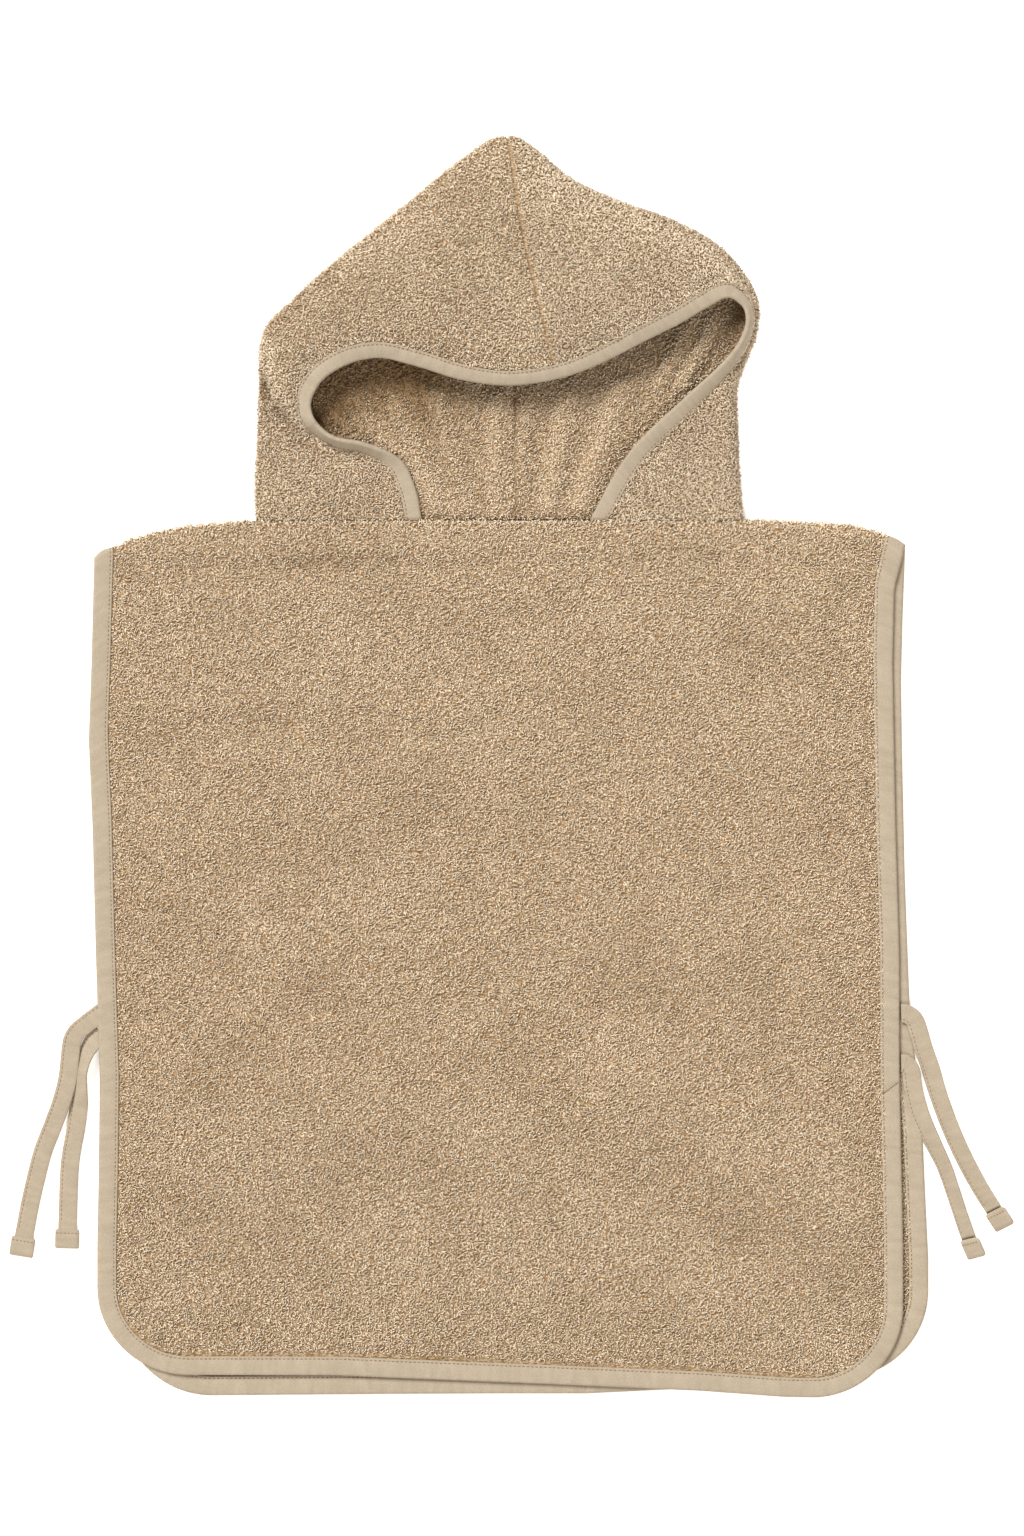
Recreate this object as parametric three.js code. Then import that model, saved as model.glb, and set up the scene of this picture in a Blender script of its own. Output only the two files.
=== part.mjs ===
// A toddler's hooded bath poncho in terry towelling, laid flat on its back on a table.
// Millimetres, +Z up. The garment's own frame has X across it, Y from the neck seam (Y = 0) up to
// the hood's tip and Z up from the table. The last lines move its origin to the middle of its base.
// Every cloth piece is a closed wall built round a grid of middle points.
import * as THREE from 'three';
import { mergeVertices } from 'three/addons/utils/BufferGeometryUtils.js';

// Cloth
const TERRY = 3;              // looped terry at rest
const PRESSED = 1;            // terry squeezed flat inside the tape
const TAPE = 1;               // woven tape with its turned-in edge
const GAP = 0.3;              // air at every seam
const TERRY_INSET = 2;        // the terry's cut edge lies this far inside the tape's fold
const THICKEN_FROM = 16;      // past the tape the terry swells back to its full loft
const THICKEN_TO = 26;
const PANEL_TAPE = 14.5;      // tape's fold to its stitched edge, on the panels
const HOOD_TAPE = 11.4;       // the same round the face
const TAPE_SPREAD = PRESSED / 2 + GAP + TAPE / 2;   // terry's middle to a tape leg's middle

// Body
const CORNER = 63;            // rounded hem corners
const RUN = 590;              // hem to the start of the shoulder's roll
const HALF_NECK = 166;
const HALF_WIDTH = 278;
const NECK_Z = 6.1;           // middle of the upper layer at the neck seam
const ROLL_DEPTH = 3.8;       // how far the shoulder's roll reaches past its start
const CURL_WIDTH = 14;        // beside the neck the open edge curls into the shoulder's roll
const UNDER_TAPE = TAPE_SPREAD + TAPE / 2;
const LOFT = 1;               // the front's middle stands this far above the back
const ROLL_STEPS = 3;
const NECK_RISE = 40;
const TAPE_ROLL = 0.94;       // share of the shoulder's roll that the tape covers before its seam

// Ties
const TIE_WIDTH = 12.8;
const TIE_THICKNESS = 1.8;
const TAB_WIDTH = 16.5;
const TAB_LENGTH = 13;
const TAB_THICKNESS = 3;
const TIE_STATIONS = 14;

const { lerp, smoothstep, degToRad } = THREE.MathUtils;

// A short table: a list of rows turned into objects with the named columns.
const table = (columns, rows) => rows.map(
  (row) => Object.fromEntries(columns.split(' ').map((name, i) => [name, row[i]])));

// Straight-line reading of one column of a table at a value of its key column.
function read(rows, key, column, at) {
  const next = rows.findIndex((row) => row[key] >= at);
  if (next === 0) return rows[0][column];
  if (next < 0) return rows[rows.length - 1][column];
  const [from, to] = [rows[next - 1], rows[next]];
  return lerp(from[column], to[column], (at - from[key]) / (to[key] - from[key]));
}

const evenly = (from, to, spans) => Array.from({ length: spans + 1 }, (_, i) => lerp(from, to, i / spans));

const halfTerry = (edge) => lerp(PRESSED, TERRY, smoothstep(edge, THICKEN_FROM, THICKEN_TO)) / 2;

// Soft ridges along straight lines: each adds height * exp(-(distance / width)^2).
const RIDGE_COLUMNS = 'x1 y1 x2 y2 height width';
function ridges(rows, x, y) {
  return rows.reduce((sum, row) => {
    const [dx, dy] = [row.x2 - row.x1, row.y2 - row.y1];
    const along = ((x - row.x1) * dx + (y - row.y1) * dy) / (dx * dx + dy * dy);
    const t = THREE.MathUtils.clamp(along, 0, 1);
    const distance = Math.hypot(x - row.x1 - t * dx, y - row.y1 - t * dy);
    return sum + row.height * Math.exp(-((distance / row.width) ** 2));
  }, 0);
}

// Middle points on a grid get their normals from their neighbours: across x along.
function withNormals(grid) {
  const lastRow = grid.length - 1;
  const lastColumn = grid[0].length - 1;
  return grid.map((row, r) => row.map((point, c) => {
    const across = row[Math.min(c + 1, lastColumn)].clone().sub(row[Math.max(c - 1, 0)]);
    const along = grid[Math.min(r + 1, lastRow)][c].clone().sub(grid[Math.max(r - 1, 0)][c]);
    return { at: point, normal: across.cross(along).normalize() };
  }));
}

// A closed wall: each node { at, normal, half } gives a point on either face, and four rims join
// them. A bent quad is split along its shorter diagonal, so that neighbouring layers split alike.
function wall(nodes) {
  const columns = nodes[0].length;
  const [lastRow, lastColumn] = [nodes.length - 1, columns - 1];
  const position = [];
  for (const side of [1, -1]) {
    for (const { at, normal, half } of nodes.flat()) {
      position.push(...at.clone().addScaledVector(normal, side * half));
    }
  }
  const face = (r, c) => r * columns + c;
  const back = (r, c) => nodes.length * columns + face(r, c);
  const index = [];
  const quad = (a, b, c, d) => index.push(a, b, c, a, c, d);
  for (let r = 0; r < lastRow; r += 1) {
    for (let c = 0; c < lastColumn; c += 1) {
      const corners = [[r, c], [r, c + 1], [r + 1, c + 1], [r + 1, c]];
      const diagonal = (i) => nodes[corners[i][0]][corners[i][1]].at.distanceTo(
        nodes[corners[i + 2][0]][corners[i + 2][1]].at);
      if (diagonal(0) > diagonal(1)) corners.push(corners.shift());
      const [first, ...others] = corners;
      quad(...corners.map((corner) => face(...corner)));
      quad(...[first, ...others.reverse()].map((corner) => back(...corner)));
    }
    quad(face(r, 0), face(r + 1, 0), back(r + 1, 0), back(r, 0));
    quad(face(r, lastColumn), back(r, lastColumn), back(r + 1, lastColumn), face(r + 1, lastColumn));
  }
  for (let c = 0; c < lastColumn; c += 1) {
    quad(face(0, c), back(0, c), back(0, c + 1), face(0, c + 1));
    quad(face(lastRow, c), face(lastRow, c + 1), back(lastRow, c + 1), back(lastRow, c));
  }
  const geometry = new THREE.BufferGeometry();
  geometry.setAttribute('position', new THREE.Float32BufferAttribute(position, 3));
  geometry.setIndex(index);
  const merged = mergeVertices(geometry, 1e-3);
  merged.computeVertexNormals();
  return merged;
}

// The body's outline, to the tape's outer fold.
const SHOULDER = table('x y', [
  [-280, -27], [-273, -20.5], [-263, -17], [-250, -12.5], [-234, -8], [-213, -4], [-190, -2.2],
  [-HALF_NECK, 0], [180, 0], [221, -2], [242, -3.5], [263, -8], [272, -12], [281, -17]]);
const FRONT = {
  rows: 17,
  columns: 15,
  hem: table('x y', [[-192, -588.6], [-110, -588.8], [-68, -590.6], [37, -594.8], [139, -599.3],
    [196, -603.5], [223, -604]]),
  side: table('y left right', [[-500, -276.7, 278.4], [-450, -275.7, 277.4], [-385, -275, 276],
    [-300, -277.7, 275.7], [-210, -280, 273], [-150, -282.6, 271.9], [-100, -280.8, 271],
    [-50, -279.5, 272.2], [-20, -278.5, 279]]),
};
const BACK = {
  rows: 9,
  columns: 9,
  hem: table('x y', [[-197, -603], [-68, -602], [-2, -601.7], [60, -601.7], [116.6, -599],
    [233, -592]]),
  side: table('y left right', [[-508, -261, 296], [-464, -262.5, 293.9], [-420, -265, 291.9],
    [-376, -267.5, 287.7], [-335, -269.5, 283.2], [-245, -273, 279.8], [-164, -276, 278],
    [-111, -277.5, 277.2], [-66, -278, 278.3], [-20, -278.5, 280]]),
};
// Shallow creases pressed into the front: negative ridges.
const CREASES = table(RIDGE_COLUMNS, [
  [-255, -30, 0, -25, -0.9, 14],
  [-255, -141, -40, -139, -0.6, 16],
  [159, -82, 252, -148, -0.6, 18],
  [-10, -318, 5, -322, -0.6, 34],
]);

const rollStartY = (x) => read(SHOULDER, 'x', 'y', x) - ROLL_DEPTH;

// Y at a distance "run" from the hem, stretched so that RUN is the shoulder's line.
function panelY(panel, x, run) {
  const hem = read(panel.hem, 'x', 'y', x);
  return hem + (Math.min(run, RUN) / RUN) * (rollStartY(x) - hem);
}

const sideX = (panel, side, run) =>
  read(panel.side, 'y', side, panelY(panel, side === 'left' ? -HALF_WIDTH : HALF_WIDTH, run));

// Distance from the panel's outline, with its rounded lower corners.
function edgeDistance(panel, x, run) {
  const across = Math.min(x - sideX(panel, 'left', run), sideX(panel, 'right', run) - x);
  if (across < CORNER && run < CORNER) return CORNER - Math.hypot(CORNER - across, CORNER - run);
  return Math.min(across, run);
}

// The middle surface of a panel. "run" goes from 0 at the hem to RUN, and one more unit goes round
// the shoulder: a quarter turn of radius r, flattened out to a straight edge along the neck.
function panelPoint(panel, x, run) {
  const edge = edgeDistance(panel, x, run);
  const startY = rollStartY(x);
  const y = panelY(panel, x, run);
  const backZ = lerp(UNDER_TAPE, TERRY / 2, smoothstep(edge, THICKEN_FROM, THICKEN_TO));
  const tapeTop = lerp(2 * UNDER_TAPE, TERRY, smoothstep(edge, 36, 60)) + GAP;
  const loft = smoothstep(edge, 36, 60) * (LOFT + ridges(CREASES, x, y));
  const nearNeck = smoothstep(y - startY, -NECK_RISE, 0);
  const frontZ = lerp(tapeTop + backZ + loft, NECK_Z, nearNeck);
  const [flatZ, turn] = panel === FRONT ? [frontZ, -1] : [backZ, 1];
  const round = Math.max(0, run - RUN);
  const curl = smoothstep(Math.abs(x), HALF_NECK, HALF_NECK + CURL_WIDTH);
  const radius = (NECK_Z - backZ) / 2;
  const length = round * (lerp(ROLL_DEPTH, radius * Math.PI / 2, curl) - GAP);
  if (round === 0 || curl === 0) return new THREE.Vector3(x, y + length, flatZ);
  const angle = length * curl / radius;
  return new THREE.Vector3(x, startY + Math.sin(angle) * radius / curl,
    flatZ + turn * (1 - Math.cos(angle)) * radius / curl);
}

function panelNode(panel, x, run) {
  const step = 0.01;
  const across = panelPoint(panel, x + step, run).sub(panelPoint(panel, x - step, run));
  const along = panelPoint(panel, x, run + step).sub(panelPoint(panel, x, run - step));
  return { at: panelPoint(panel, x, run), normal: across.cross(along).normalize() };
}

const EDGE_STEPS = [TERRY_INSET, 8, PANEL_TAPE, 21, 34];
const rollRuns = evenly(RUN, RUN + 1, ROLL_STEPS).slice(1);

// Terry: rows follow the hem and keep to the rounded corners, and columns gather at the edges.
function terryPanel(panel) {
  const hemRuns = [TERRY_INSET, 4.5, 8, PANEL_TAPE, 21, 34, 48, CORNER];
  const runs = [...hemRuns, ...evenly(CORNER, RUN, panel.rows).slice(1), ...rollRuns];
  return wall(runs.map((run) => {
    const rest = CORNER - TERRY_INSET;
    const inset = CORNER - (run < CORNER ? Math.sqrt(rest ** 2 - (CORNER - run) ** 2) : rest);
    const left = sideX(panel, 'left', run) + inset - TERRY_INSET;
    const right = sideX(panel, 'right', run) - inset + TERRY_INSET;
    const lastStep = EDGE_STEPS[EDGE_STEPS.length - 1];
    const middle = evenly(left + lastStep, right - lastStep, panel.columns).slice(1, -1);
    const across = [...EDGE_STEPS.map((step) => left + step), ...middle,
      ...EDGE_STEPS.map((step) => right - step).reverse()];
    return across.map((x) => ({
      ...panelNode(panel, x, run), half: halfTerry(edgeDistance(panel, x, run)),
    }));
  }));
}

// The folded tape in section: [distance in from its fold, height over the terry's middle].
function tapeSection(legSteps) {
  const centre = TAPE / 2 + TAPE_SPREAD;
  const bend = [45, 0, -45].map((angle) => [
    centre - TAPE_SPREAD * Math.cos(degToRad(angle)), TAPE_SPREAD * Math.sin(degToRad(angle))]);
  const leg = (side) => [...legSteps, centre].map((distance) => [distance, side * TAPE_SPREAD]);
  return [...leg(1), ...bend, ...leg(-1).reverse()];
}

const tapeWall = (grid) => wall(
  withNormals(grid).map((row) => row.map((node) => ({ ...node, half: TAPE / 2 }))));

// Down the left side, round the corner, along the hem and up the right side.
function panelTape(panel) {
  const sideRuns = [...evenly(CORNER, RUN, panel.rows), ...rollRuns]
    .map((run) => Math.min(run, RUN + TAPE_ROLL));
  const angles = evenly(0, Math.PI / 2, 8).slice(1, -1);
  const along = (side, sign) => ({
    sides: sideRuns.map((run) => (inset) => [sideX(panel, side, run) + sign * inset, run]),
    corner: angles.map((angle) => (inset) => {
      const run = CORNER - (CORNER - inset) * Math.cos(angle);
      return [sideX(panel, side, run) + sign * (CORNER - (CORNER - inset) * Math.sin(angle)), run];
    }),
  });
  const [left, right] = [along('left', 1), along('right', -1)];
  const hem = evenly(sideX(panel, 'left', 0) + CORNER, sideX(panel, 'right', 0) - CORNER, panel.columns)
    .map((x) => (inset) => [x, inset]);
  const stations = [...left.sides.reverse(), ...left.corner.reverse(), ...hem,
    ...right.corner, ...right.sides];
  const section = tapeSection([PANEL_TAPE, EDGE_STEPS[1]]);
  return tapeWall(stations.map((place) => section.map(([inset, height]) => {
    const { at, normal } = panelNode(panel, ...place(inset));
    return at.addScaledVector(normal, height);
  })));
}

// The hood, row by row round its face edge. Each row runs from the face edge over the upper layer
// to the side fold, and back under to the seam at the centre back. "lead" is how far the brow point
// lies out from the edge, square to it; "bow" pushes the crown point sideways; "foldX, foldY" is
// the outline; "roll" is the fold's middle radius; "seamY" is where the row meets the back seam.
const HOOD_COLUMNS = 'edgeX edgeY edgeZ lead browZ crownZ bow foldX foldY roll seamY';
const HOOD_LEFT = table(HOOD_COLUMNS, [
  [-53, 0.15, NECK_Z, 13, NECK_Z, NECK_Z, 0, -166, 0.15, 2.3, 0.15],
  [-57, 21, 7.5, 11, 6.4, 6.3, 0, -167, 21, 2.4, 21],
  [-68, 42, 11, 8, 6.8, 6.6, 0, -166, 43, 2.5, 42],
  [-93, 52.5, 16.5, 5, 7, 6.8, 0, -165, 62, 2.6, 60],
  [-112, 56, 18.5, 5, 7, 7, -1.5, -164.5, 80, 2.8, 76],
  [-121, 61.5, 19, 5, 8, 7.2, -3, -163.5, 97, 3.2, 90],
  [-127.5, 70, 19.5, 7, 11.5, 13, -5, -163.5, 108, 5, 100],
  [-129, 79, 19.5, 9, 15, 18, -1, -163, 118, 6.5, 110],
  [-124.5, 90, 22, 10, 20, 22, 0, -160, 131, 7.5, 122],
  [-109, 103, 25, 11, 26, 26, 0, -141, 151, 7.5, 143],
  [-84, 110, 25.5, 11, 29, 27, 0, -117, 173, 7, 167],
  [-57, 104.8, 25, 11, 28.5, 28, 0, -90, 195, 6.5, 191],
  [-26, 96, 23, 9.5, 27, 28, 0, -59, 220, 6, 215],
  [8, 92.5, 22, 9, 26, 27, 0, -27, 246, 5, 240],
]);
const HOOD_TOP_SEAM = table(HOOD_COLUMNS, [
  [39.3, 96.6, 22, 9.5, 25.5, 26, -3, 5, 264, 4, 254],
]);
const HOOD_RIGHT = table(HOOD_COLUMNS, [
  [62.5, 0.15, NECK_Z, 13, NECK_Z, NECK_Z, 0, 167, 0.15, 2.3, 0.15],
  [73.8, 21.6, 8, 12, 6.9, 6.6, 0, 165.5, 20, 2.4, 21],
  [83, 37.5, 10, 11.5, 8, 7.2, 0, 164, 38, 2.6, 38],
  [94, 52, 12, 11, 9, 8, 0, 163.5, 54, 3, 54],
  [107, 65.2, 13.5, 11, 10, 9, 0, 163, 68, 3.4, 69],
  [120, 77, 15, 10, 11.5, 10, 0, 162.5, 81, 3.8, 83],
  [133, 89, 16.5, 9, 12.5, 11.5, 0, 163, 93, 4.2, 95],
  [146.6, 101, 18, 7, 13.5, 12, 0, 166.5, 104, 4.2, 107],
  [157, 111.4, 20, 4.5, 16, 12.5, 0, 171, 115, 3.6, 118],
  [165, 122, 22, 3, 18, 13.5, 0, 175.5, 126.5, 3.3, 128],
  [169.5, 134, 24, 2.5, 20, 14, 0, 177.5, 138, 3.3, 138],
  [168.5, 143.5, 25, 2.5, 21, 15, 0, 177, 151, 3.6, 149],
  [163.5, 148.4, 26, 3.5, 23, 16, 0, 171.5, 163, 4.5, 160],
  [156.4, 151, 26.5, 6, 25, 20, 0, 162, 176, 6, 170],
  [144, 145, 26.5, 11, 28, 25, 0, 147, 190, 7, 181],
  [126, 134.5, 26, 13, 29, 27, 0, 119, 205, 7, 196],
  [100, 121.5, 24, 13, 29, 28, 0, 82, 218.5, 6.5, 215],
  [72, 108, 22.5, 10.5, 27, 27.5, 0, 50, 233, 5.5, 235],
]);
// Ripples of the hood's back, lifted off the table inside the hollow.
const RIPPLES = table(RIDGE_COLUMNS, [
  [-62, 66, -36, 4, 2.5, 9],
  [-44, 77, -20, 0, 2.2, 8],
  [-1, 80, -1, 0, 2.5, 9],
  [48, 83, 32, 0, 2.5, 9],
  [84, 87, 56, 12, 2.2, 9],
]);
const RIPPLE_START = 14;
const FRONT_SHARES = [0.12, 0.3, 0.5, 0.7, 0.85, 1];
const FOLD_SPANS = 4;
const BACK_SPANS = 12;
const EDGE_FINE = [TERRY_INSET, 7.5, HOOD_TAPE];

const seamX = (y) => lerp(9.7, 6, smoothstep(y, 150, 254));

// Middle points of one hood row, with each one's distance from the face edge.
function hoodRow(row, outward) {
  const fold = new THREE.Vector2(row.foldX, row.foldY);
  const inward = new THREE.Vector2(row.edgeX, row.edgeY).sub(fold);
  const room = Math.min(row.roll, 0.35 * (inward.length() - TERRY / 2));
  inward.normalize();
  const fromFold = (distance, z) =>
    new THREE.Vector3(fold.x + distance * inward.x, fold.y + distance * inward.y, z);
  const edge = new THREE.Vector3(row.edgeX, row.edgeY, row.edgeZ);
  const brow = new THREE.Vector3(
    row.edgeX + row.lead * outward.x, row.edgeY + row.lead * outward.y, row.browZ);
  const upper = fromFold(TERRY / 2 + room, TERRY / 2 + 2 * row.roll);
  const side = fromFold(TERRY / 2, TERRY / 2 + row.roll);
  const lower = fromFold(TERRY / 2 + row.roll, TERRY / 2);
  const seam = new THREE.Vector3(seamX(row.seamY), row.seamY, TERRY / 2);
  const crown = brow.clone().lerp(upper, 0.6);
  crown.x -= row.bow * inward.y;
  crown.y += row.bow * inward.x;
  crown.z = row.crownZ;

  const curve = new THREE.CatmullRomCurve3(
    [edge, brow, crown, upper, side, lower, seam], false, 'centripetal');
  const spans = 6;
  const fine = evenly(0, 3 / spans, 90).map((t) => curve.getPoint(t));
  const lengths = [0];
  for (let i = 1; i < fine.length; i += 1) {
    lengths.push(lengths[i - 1] + fine[i].distanceTo(fine[i - 1]));
  }
  const total = lengths[lengths.length - 1];
  const atLength = (distance) => {
    const i = Math.max(1, lengths.findIndex((length) => length >= distance - 1e-9));
    const share = (distance - lengths[i - 1]) / (lengths[i] - lengths[i - 1]);
    return fine[i - 1].clone().lerp(fine[i], share);
  };
  const front = [...EDGE_FINE, ...FRONT_SHARES.map((share) => lerp(HOOD_TAPE, total, share))];
  const points = front.map(atLength);
  for (const t of evenly(3 / spans, 5 / spans, FOLD_SPANS).slice(1)) {
    const point = curve.getPoint(t);
    point.z = Math.max(point.z, TERRY / 2);
    points.push(point);
  }
  for (let i = 1; i <= BACK_SPANS; i += 1) {
    const point = lower.clone().lerp(seam, 1 - (1 - i / BACK_SPANS) ** 1.5);
    point.z += ridges(RIPPLES, point.x, point.y) * smoothstep(point.y, 0, RIPPLE_START);
    points.push(point);
  }
  return points;
}

// The whole hood as one grid: left rows from the neck up, the top seam, right rows back down.
function hoodNodes() {
  const rows = [...HOOD_LEFT, ...HOOD_TOP_SEAM, ...[...HOOD_RIGHT].reverse()];
  const last = rows.length - 1;
  const grid = rows.map((row, i) => {
    const [before, after] = [rows[Math.max(i - 1, 0)], rows[Math.min(i + 1, last)]];
    const atNeck = i === 0 || i === last;
    const outward = atNeck
      ? new THREE.Vector2(row.foldX - row.edgeX, row.foldY - row.edgeY)
      : new THREE.Vector2(before.edgeY - after.edgeY, after.edgeX - before.edgeX);
    return hoodRow(row, outward.normalize());
  });
  return withNormals(grid).map((row) => {
    row[row.length - 1].normal.set(0, 0, 1);
    let edge = TERRY_INSET;
    return row.map((node, c) => {
      if (c > 0) edge += node.at.distanceTo(row[c - 1].at);
      return { ...node, half: halfTerry(edge) };
    });
  });
}

const hood = hoodNodes();
const seamRow = HOOD_LEFT.length;

// One half of the hood: its rows, drawn back by half a gap at the top seam and the back seam.
function hoodHalf(rows, side) {
  return wall(rows.map((row, r) => row.map((node, c) => {
    const at = node.at.clone();
    const onTopSeam = rows[r] === hood[seamRow];
    if (onTopSeam) {
      const [from, to] = [row[Math.max(c - 1, 0)], row[Math.min(c + 1, row.length - 1)]];
      const off = node.normal.clone().cross(to.at.clone().sub(from.at)).normalize();
      at.addScaledVector(off, side * GAP / 2);
    } else if (c === row.length - 1) {
      at.x += side * GAP / 2;
    }
    return { ...node, at };
  })));
}

// The face tape is made from the hood's own edge points, moved out.
function faceTape() {
  const [edgeColumn, midColumn, endColumn] = EDGE_FINE.map((_, i) => i);
  const section = tapeSection([HOOD_TAPE, EDGE_FINE[1]]);
  return tapeWall(hood.map((row) => {
    const outward = row[edgeColumn].at.clone().sub(row[midColumn].at).normalize();
    return section.map(([inset, height]) => {
      const column = { [HOOD_TAPE]: endColumn, [EDGE_FINE[1]]: midColumn }[inset] ?? edgeColumn;
      const past = column === edgeColumn ? TERRY_INSET - inset : 0;
      return row[column].at.clone()
        .addScaledVector(outward, past)
        .addScaledVector(row[column].normal, height);
    });
  }));
}

// Tie centrelines, from the binding to the turned-up end. "tilt" turns the band about its length.
const TIE_COLUMNS = 'x y z tilt';
const TIE_FRONT_LEFT = table(TIE_COLUMNS, [
  [-276.9, -340.5, 6.2, 0], [-280, -340.8, 6.1, 0], [-286, -344, 5.9, 0], [-291, -351, 5.4, 0],
  [-294, -360, 4.4, 0], [-295, -368, 3.6, 0], [-297.4, -385, 3.2, 0], [-302, -402, 3.1, 0],
  [-308, -418, 2, 0], [-314.6, -435, 0.9, 0], [-318.8, -451, 0.9, 0], [-322.9, -468.5, 0.9, 0],
  [-327, -490, 0.9, 0], [-329.8, -507, 1.5, 0]]);
const TIE_BACK_LEFT = table(TIE_COLUMNS, [
  [-276.6, -356, 4.8, 0], [-279.5, -356.4, 4.2, 0], [-284, -360, 2.6, 0], [-287, -367, 1.3, 0],
  [-288.2, -377, 0.9, 0], [-289, -395.6, 0.9, 0], [-291.2, -413, 0.9, 0], [-293.9, -427, 0.9, 0],
  [-296, -444, 0.9, 0], [-297.4, -479, 0.9, 0], [-298, -501.6, 1.5, 0]]);
const TIE_FRONT_RIGHT = table(TIE_COLUMNS, [
  [277, -339.5, 5.8, 0], [280, -339.5, 5.7, 0], [285.5, -343, 5.3, 0], [289.4, -353, 5, 0],
  [292.2, -363, 4.8, 0], [297.4, -377.4, 3.4, 0], [302.9, -396, 1.6, 0], [312.6, -422, 0.9, 0],
  [322.9, -444, 0.9, 0], [332.6, -461.6, 0.9, 0], [340.9, -474.7, 0.9, 0], [348.5, -486.5, 1.5, 0]]);
const TIE_BACK_RIGHT = table(TIE_COLUMNS, [
  [277, -374, 5.8, 0], [280, -374.1, 5.5, 0], [283.6, -378.6, 5.1, 0], [284.8, -387, 4.9, 0],
  [286.6, -397, 4.9, 0], [290.5, -410, 4.9, 0], [298.8, -428.5, 4.8, 0], [306.4, -444.4, 3.6, 15],
  [311.9, -460, 3.6, 25], [317.4, -476.8, 3.6, 25], [322.9, -492.7, 3, 18], [329, -507, 2.4, 8]]);

// A flat band along its centreline, with a thicker, wider tab where its end is turned up and sewn.
function tie(rows) {
  const curve = new THREE.CatmullRomCurve3(rows.map(({ x, y, z }) => new THREE.Vector3(x, y, z)));
  const length = curve.getLength();
  const tabStart = length - TAB_LENGTH;
  const stations = evenly(0, tabStart - GAP, TIE_STATIONS)
    .map((distance) => ({ distance, width: TIE_WIDTH, thickness: TIE_THICKNESS }));
  for (const distance of [tabStart + GAP, length - TAB_LENGTH / 2, length]) {
    stations.push({ distance, width: TAB_WIDTH, thickness: TAB_THICKNESS });
  }
  const across = table('place share', [[-1, 0.6], [-0.8, 1], [0.8, 1], [1, 0.6]]);
  const grid = stations.map(({ distance, width, thickness }) => {
    const share = Math.min(distance / length, 1);
    const centre = curve.getPointAt(share);
    const along = curve.getTangentAt(share);
    const at = curve.getUtoTmapping(share) * (rows.length - 1);
    const from = Math.min(Math.floor(at), rows.length - 2);
    const tilt = degToRad(lerp(rows[from].tilt, rows[from + 1].tilt, at - from));
    centre.z = Math.max(centre.z, thickness / 2 + Math.sin(tilt) * width / 2);
    const level = new THREE.Vector3(-along.y, along.x, 0).normalize().multiplyScalar(Math.cos(tilt));
    level.z = Math.sin(tilt);
    return across.map(({ place }) => centre.clone().addScaledVector(level, place * width / 2));
  });
  return wall(withNormals(grid).map((row, r) => row.map((node, c) => (
    { ...node, half: stations[r].thickness * across[c].share / 2 }))));
}

const terry = new THREE.MeshStandardMaterial({ color: 0xc4aa86, roughness: 0.98, metalness: 0 });
const tape = new THREE.MeshStandardMaterial({ color: 0xcfc2aa, roughness: 0.85, metalness: 0 });

const PIECES = [
  ['back_panel', terryPanel(BACK), terry],
  ['front_panel', terryPanel(FRONT), terry],
  ['back_binding', panelTape(BACK), tape],
  ['front_binding', panelTape(FRONT), tape],
  ['hood_left', hoodHalf(hood.slice(0, seamRow + 1), -1), terry],
  ['hood_right', hoodHalf(hood.slice(seamRow), 1), terry],
  ['hood_binding', faceTape(), tape],
  ['tie_front_left', tie(TIE_FRONT_LEFT), tape],
  ['tie_back_left', tie(TIE_BACK_LEFT), tape],
  ['tie_front_right', tie(TIE_FRONT_RIGHT), tape],
  ['tie_back_right', tie(TIE_BACK_RIGHT), tape],
];

const garment = new THREE.Group();
for (const [name, geometry, material] of PIECES) {
  const mesh = new THREE.Mesh(geometry, material);
  mesh.name = name;
  garment.add(mesh);
}

// The origin is the middle of the base of the whole garment's box.
const box = new THREE.Box3().setFromObject(garment);
garment.position.set(-(box.min.x + box.max.x) / 2, -(box.min.y + box.max.y) / 2, -box.min.z);

const poncho = new THREE.Group();
poncho.add(garment);
poncho.updateMatrixWorld(true);
export default poncho;
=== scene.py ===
"""A child's hooded bath poncho in beige terry, laid flat on its back with its hood propped open.

Lengths are millimetres in the garment's own frame (X across, Y from the neck seam to the hood's tip,
Z up from the table) until to_metres() puts them in the frame. Each cloth piece is a closed wall round
a grid of middle points. The terry's loops and the stitches are small shapes stamped over the cloth.
"""
import math

import bpy
import numpy as np
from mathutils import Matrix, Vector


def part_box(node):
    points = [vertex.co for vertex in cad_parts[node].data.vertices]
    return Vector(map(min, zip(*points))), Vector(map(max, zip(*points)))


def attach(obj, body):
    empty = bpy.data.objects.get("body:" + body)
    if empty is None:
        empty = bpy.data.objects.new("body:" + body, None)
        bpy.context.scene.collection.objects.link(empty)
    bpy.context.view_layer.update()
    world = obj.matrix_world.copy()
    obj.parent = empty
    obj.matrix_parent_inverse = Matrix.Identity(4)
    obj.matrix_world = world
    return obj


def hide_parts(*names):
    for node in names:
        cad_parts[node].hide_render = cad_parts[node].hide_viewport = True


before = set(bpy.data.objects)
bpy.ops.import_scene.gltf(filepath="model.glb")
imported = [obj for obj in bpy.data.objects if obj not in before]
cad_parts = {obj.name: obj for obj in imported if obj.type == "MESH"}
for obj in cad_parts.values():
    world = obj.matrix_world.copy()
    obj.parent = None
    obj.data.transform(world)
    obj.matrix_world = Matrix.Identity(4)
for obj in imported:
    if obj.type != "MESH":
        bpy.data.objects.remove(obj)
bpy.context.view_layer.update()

# Cloth
TERRY = 3.0
PRESSED = 1.0
TAPE = 1.0
GAP = 0.3
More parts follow.
